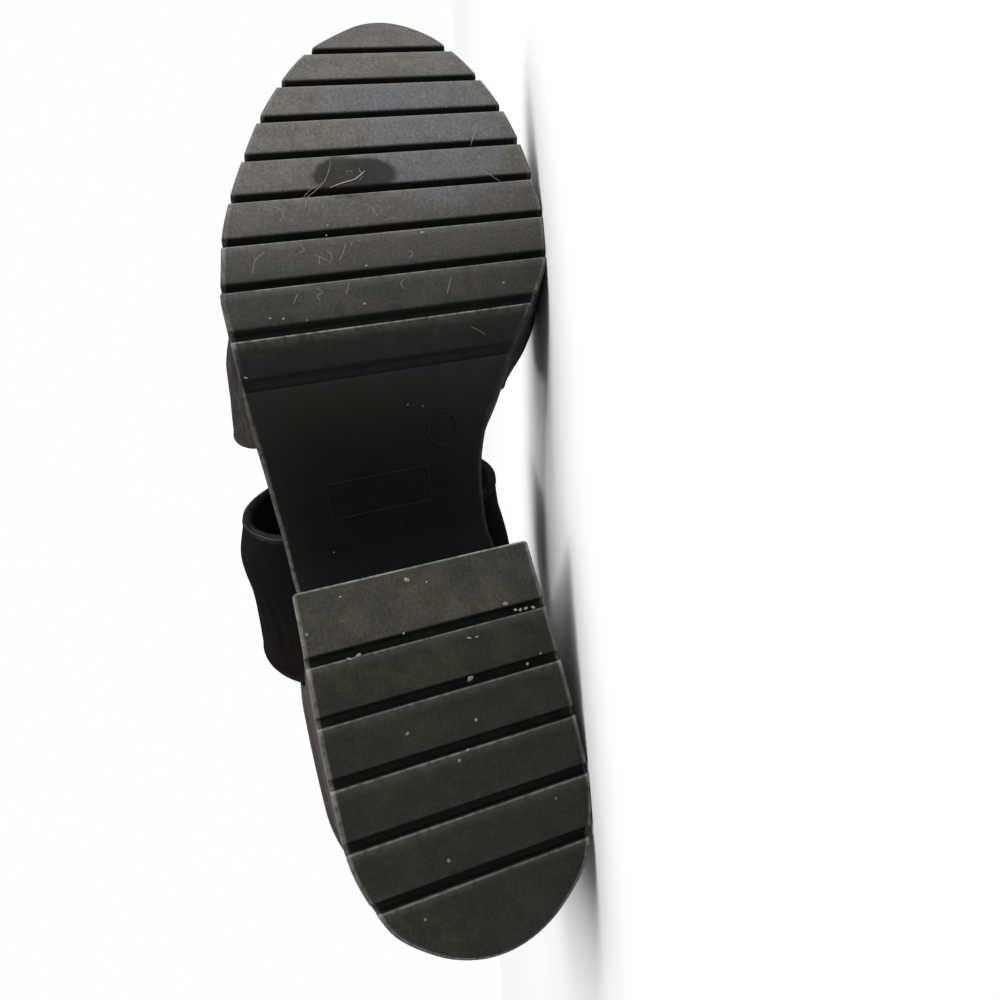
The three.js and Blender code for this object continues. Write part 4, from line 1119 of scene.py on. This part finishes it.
# Fibres and pale scratches on the tread, as bent lines in the shoe's x and y
SCRATCHES = [
    [(184.2, -6.6), (187.5, -5.7), (190.1, -2.7), (193.0, 0.1), (196.9, 2.0), (199.2, 2.8)],
    [(187.8, -6.6), (190.7, -3.6), (192.3, -0.5)], [(209.3, 46.4), (205.6, 44.5), (201.2, 42.2)],
    [(208.9, 44.9), (206.0, 44.4), (202.4, 42.7)], [(193.2, 42.7), (190.6, 45.4), (187.9, 47.9)],
    [(245.8, 15.2), (244.2, 14.4), (243.1, 13.3)], [(172.9, -18.7), (170.8, -21.1), (166.9, -22.6)],
    [(170.9, -6.9), (169.3, -5.0), (168.1, -3.3)], [(173.2, 1.6), (170.6, 0.4), (168.0, -1.2)],
    [(174.8, 7.3), (175.0, 9.7), (174.9, 12.3), (175.1, 16.0), (174.6, 19.4)],
    [(179.0, 12.6), (179.4, 14.4), (179.4, 16.5)], [(166.9, 16.4), (167.4, 17.6), (168.4, 18.0), (169.1, 16.7)],
    [(160.0, 26.6), (157.3, 25.2), (155.0, 24.2)], [(161.6, 0.0), (160.0, -0.6), (158.4, -1.4)],
    [(160.4, -12.7), (159.0, -13.6), (157.4, -14.4)], [(170.4, -5.9), (168.9, -5.9), (167.5, -6.3)],
    [(171.4, -3.5), (169.7, -2.6), (167.4, -3.7)], [(173.4, 3.6), (172.6, 2.7), (171.9, 2.9)],
    [(196.3, 9.6), (193.8, 10.0), (192.2, 9.0)], [(195.0, 5.9), (195.6, 7.0), (194.9, 7.7)],
    [(146.6, 29.0), (145.6, 31.1), (144.5, 32.9)],
    [(199.6, 23.4), (197.9, 25.2), (196.4, 24.6)], [(186.2, -14.8), (184.9, -12.6), (183.1, -12.2), (181.4, -13.6)],
    [(184.6, 8.2), (183.4, 10.4), (181.5, 10.9)], [(187.2, 30.4), (185.4, 29.2), (184.2, 30.6), (182.6, 30.0)],
    [(174.2, -9.8), (172.3, -9.0), (171.6, -10.6)], [(161.4, -8.2), (159.7, -6.9), (158.9, -8.4), (157.4, -7.9)],
    [(160.9, 14.2), (159.6, 12.9), (157.9, 13.6)], [(211.8, 12.2), (210.4, 14.0), (208.3, 13.9)],
]
FIBRE = [(190.3, 0.6), (191.6, 4.3), (192.4, 7.5), (193.8, 9.6), (195.1, 11.1)]
# Crumbs: x, y, length and width in millimetres; specks are the small ones
CRUMBS = np.array([
    (83.1, -2.7, 2.2, 1.5), (81.5, 1.6, 0.8, 0.7), (82.8, -18.0, 0.8, 0.6), (71.9, 18.5, 2.0, 1.2),
    (69.9, 20.5, 1.2, 0.9), (69.6, 21.7, 1.3, 1.0), (69.6, 23.1, 1.5, 0.9), (69.4, 24.9, 1.6, 0.9),
    (71.2, -6.1, 0.9, 0.7), (68.7, -18.8, 1.7, 0.9), (69.0, -16.7, 1.9, 1.0), (56.9, 20.0, 1.1, 0.9),
    (58.4, 23.7, 1.0, 0.6), (48.0, 5.3, 1.1, 0.9), (42.3, 1.9, 1.2, 0.7), (66.3, 8.2, 1.6, 0.6),
    (66.1, 10.0, 1.2, 0.5), (173.9, 21.8, 1.7, 1.1), (205.3, 28.7, 0.8, 0.7), (206.3, 26.4, 0.6, 0.4),
    (178.8, -2.0, 0.8, 0.7), (180.7, 11.4, 0.8, 0.6), (165.8, 5.3, 1.0, 0.8), (155.0, 2.6, 1.1, 1.0),
    (154.2, -20.5, 0.9, 0.8), (153.7, -17.5, 0.9, 0.8), (156.2, 40.1, 0.9, 0.7), (175.9, -2.8, 0.7, 0.6),
    (195.6, -18.3, 0.6, 0.6), (231.2, 43.1, 0.6, 0.5), (216.0, 38.8, 0.6, 0.5), (220.1, 12.4, 0.6, 0.5),
    (133.2, 9.3, 0.7, 0.6), (132.4, 13.4, 0.6, 0.5), (103.0, -18.8, 0.7, 0.6), (142.9, -29.4, 1.5, 0.7),
])
GRAINS = np.array([(57.3, 6.2, 2.4, 1.5), (49.5, -10.1, 1.3, 0.9)])


def drawn_line(points, count):
    """Smooth line of `count` points through a few places on the tread, each laid on its surface."""
    points = np.array(points, float)
    x, y = [curve(np.linspace(0, 1, len(points)), column)(np.linspace(0, 1, count)) for column in points.T]
    return stack(x, y, tread_height(x))


def crumb_patches(rows, seed):
    """Rough little lumps: a low ball of 8 by 5 faces whose radius wavers, pressed flat on the tread."""
    rng = np.random.default_rng(seed)
    turn, tilt = np.linspace(0, 2 * np.pi, 9), np.linspace(0, np.pi, 6)
    patches = []
    for x, y, length, width in rows:
        waver = 1 + 0.22 * rng.uniform(-1, 1, (6, 8))
        waver[0], waver[-1] = 1, 1
        waver = np.concatenate([waver, waver[:, :1]], 1)
        spin = np.pi / 2 + rng.uniform(-0.5, 0.5)
        a = np.sin(tilt)[:, None] * np.cos(turn) * waver * length * 0.36
        b = np.sin(tilt)[:, None] * np.sin(turn) * waver * width * 0.36
        c = np.cos(tilt)[:, None] * waver * min(length, width) * 0.25
        base = tread_height(np.array(x)) - 0.1
        patches.append((stack(x + a * np.cos(spin) - b * np.sin(spin), y + a * np.sin(spin) + b * np.cos(spin),
                              base - c), {}))
    return patches


chalk = plain_finish("chalk_dust", (0.33, 0.31, 0.275), 0.9, 0.6)
straw = plain_finish("straw_fibre", (0.46, 0.33, 0.21), 0.7, 0.4)
mud = plain_finish("dry_mud", (0.27, 0.22, 0.13), 0.9, 0.6)
down = np.array([0.0, 0.0, -1.0])
scratch_lines = np.stack([drawn_line(points, 24) for points in SCRATCHES])
fibre_line = drawn_line(FIBRE, 40)[None] + 0.15 * down
surface_object("tread_scratches", bars(scratch_lines, down, 0.13, 0.08, 5), chalk)
surface_object("tread_fibre", bars(fibre_line, down, 0.34, 0.30, 6), straw)
surface_object("tread_crumbs", crumb_patches(CRUMBS, 3), chalk)
surface_object("tread_mud", crumb_patches(GRAINS, 5), mud)

# ---- Camera ----
turn_vector = Vector((-0.2306, -0.2669, -0.2433))
photo_turn = Matrix.Rotation(turn_vector.length, 3, turn_vector.normalized())
photo_shift = Vector((-47.0, -29.9, 174.9))


def from_photo(direction):
    """Direction of the photo's own axes, given on the standing shoe and laid down with it."""
    a, b, c = direction
    return Vector((np.array([-b, a, c]) @ shoe_axes).tolist())


eye = -(photo_turn.transposed() @ photo_shift)
camera = new_object("camera", bpy.data.cameras.new("camera"))
camera.data.sensor_width = 36
camera.data.lens = 25.2
camera.data.shift_x = -0.06
camera.data.clip_start = 0.005
right, up, back = [from_photo(sign * photo_turn.transposed().col[i]) for i, sign in ((0, 1), (1, -1), (2, -1))]
camera.matrix_world = Matrix.Translation(Vector(laid([134 - eye.y, eye.x, eye.z]).tolist())) @ Matrix(
    (right, up, back)).transposed().to_4x4()
bpy.context.scene.camera = camera

# ---- Floor, backdrop and light ----


def lamp(name, kind, energy):
    """New light of a kind, and the object that carries it."""
    light = bpy.data.lights.new(name, kind)
    light.energy = energy
    return light, new_object(name, light)


# Plain pale floor: an even grid on the ground
floor_x, floor_y = np.meshgrid(np.linspace(-40, 40, 41), np.linspace(-40, 40, 41), indexing="ij")
floor_mesh = bpy.data.meshes.new("floor")
floor_mesh.from_pydata(stack(floor_x, floor_y, 0.0).reshape(-1, 3).tolist(), [], grid_faces(41, 41).tolist())
pale = bpy.data.materials.new("pale_floor")
pale.use_nodes = True
pale.node_tree.nodes["Principled BSDF"].inputs["Base Color"].default_value = (0.92, 0.92, 0.92, 1)
pale.node_tree.nodes["Principled BSDF"].inputs["Roughness"].default_value = 0.9
floor_mesh.materials.append(pale)
new_object("floor", floor_mesh)

# A softbox on the toe's side, aimed at the forefoot, and a wide soft light from above
light, softbox = lamp("toe_side", "AREA", 1.6)
light.shape = "SQUARE"
light.size = 0.35
softbox.location = (0.42, -0.40, 0.28)
softbox.rotation_mode = "QUATERNION"
softbox.rotation_quaternion = (Vector((0.10, 0, 0.05)) - softbox.location).to_track_quat("-Z", "Y")
softbox.visible_camera = False
light, overhead = lamp("overhead", "SUN", 2.4)
light.angle = np.radians(80)
overhead.rotation_euler = (np.radians(8), np.radians(12), 0)

world = bpy.data.worlds.new("studio")
world.use_nodes = True
seen = add(world.node_tree, "ShaderNodeLightPath")
backdrop = world.node_tree.nodes["Background"]
backdrop.inputs["Color"].default_value = (1, 1, 1, 1)
world.node_tree.links.new(step(world.node_tree, seen.outputs["Is Camera Ray"], 0.0, 1.0, 0.32, 1.0),
                          backdrop.inputs["Strength"])
bpy.context.scene.world = world
bpy.context.scene.view_settings.view_transform = "Standard"
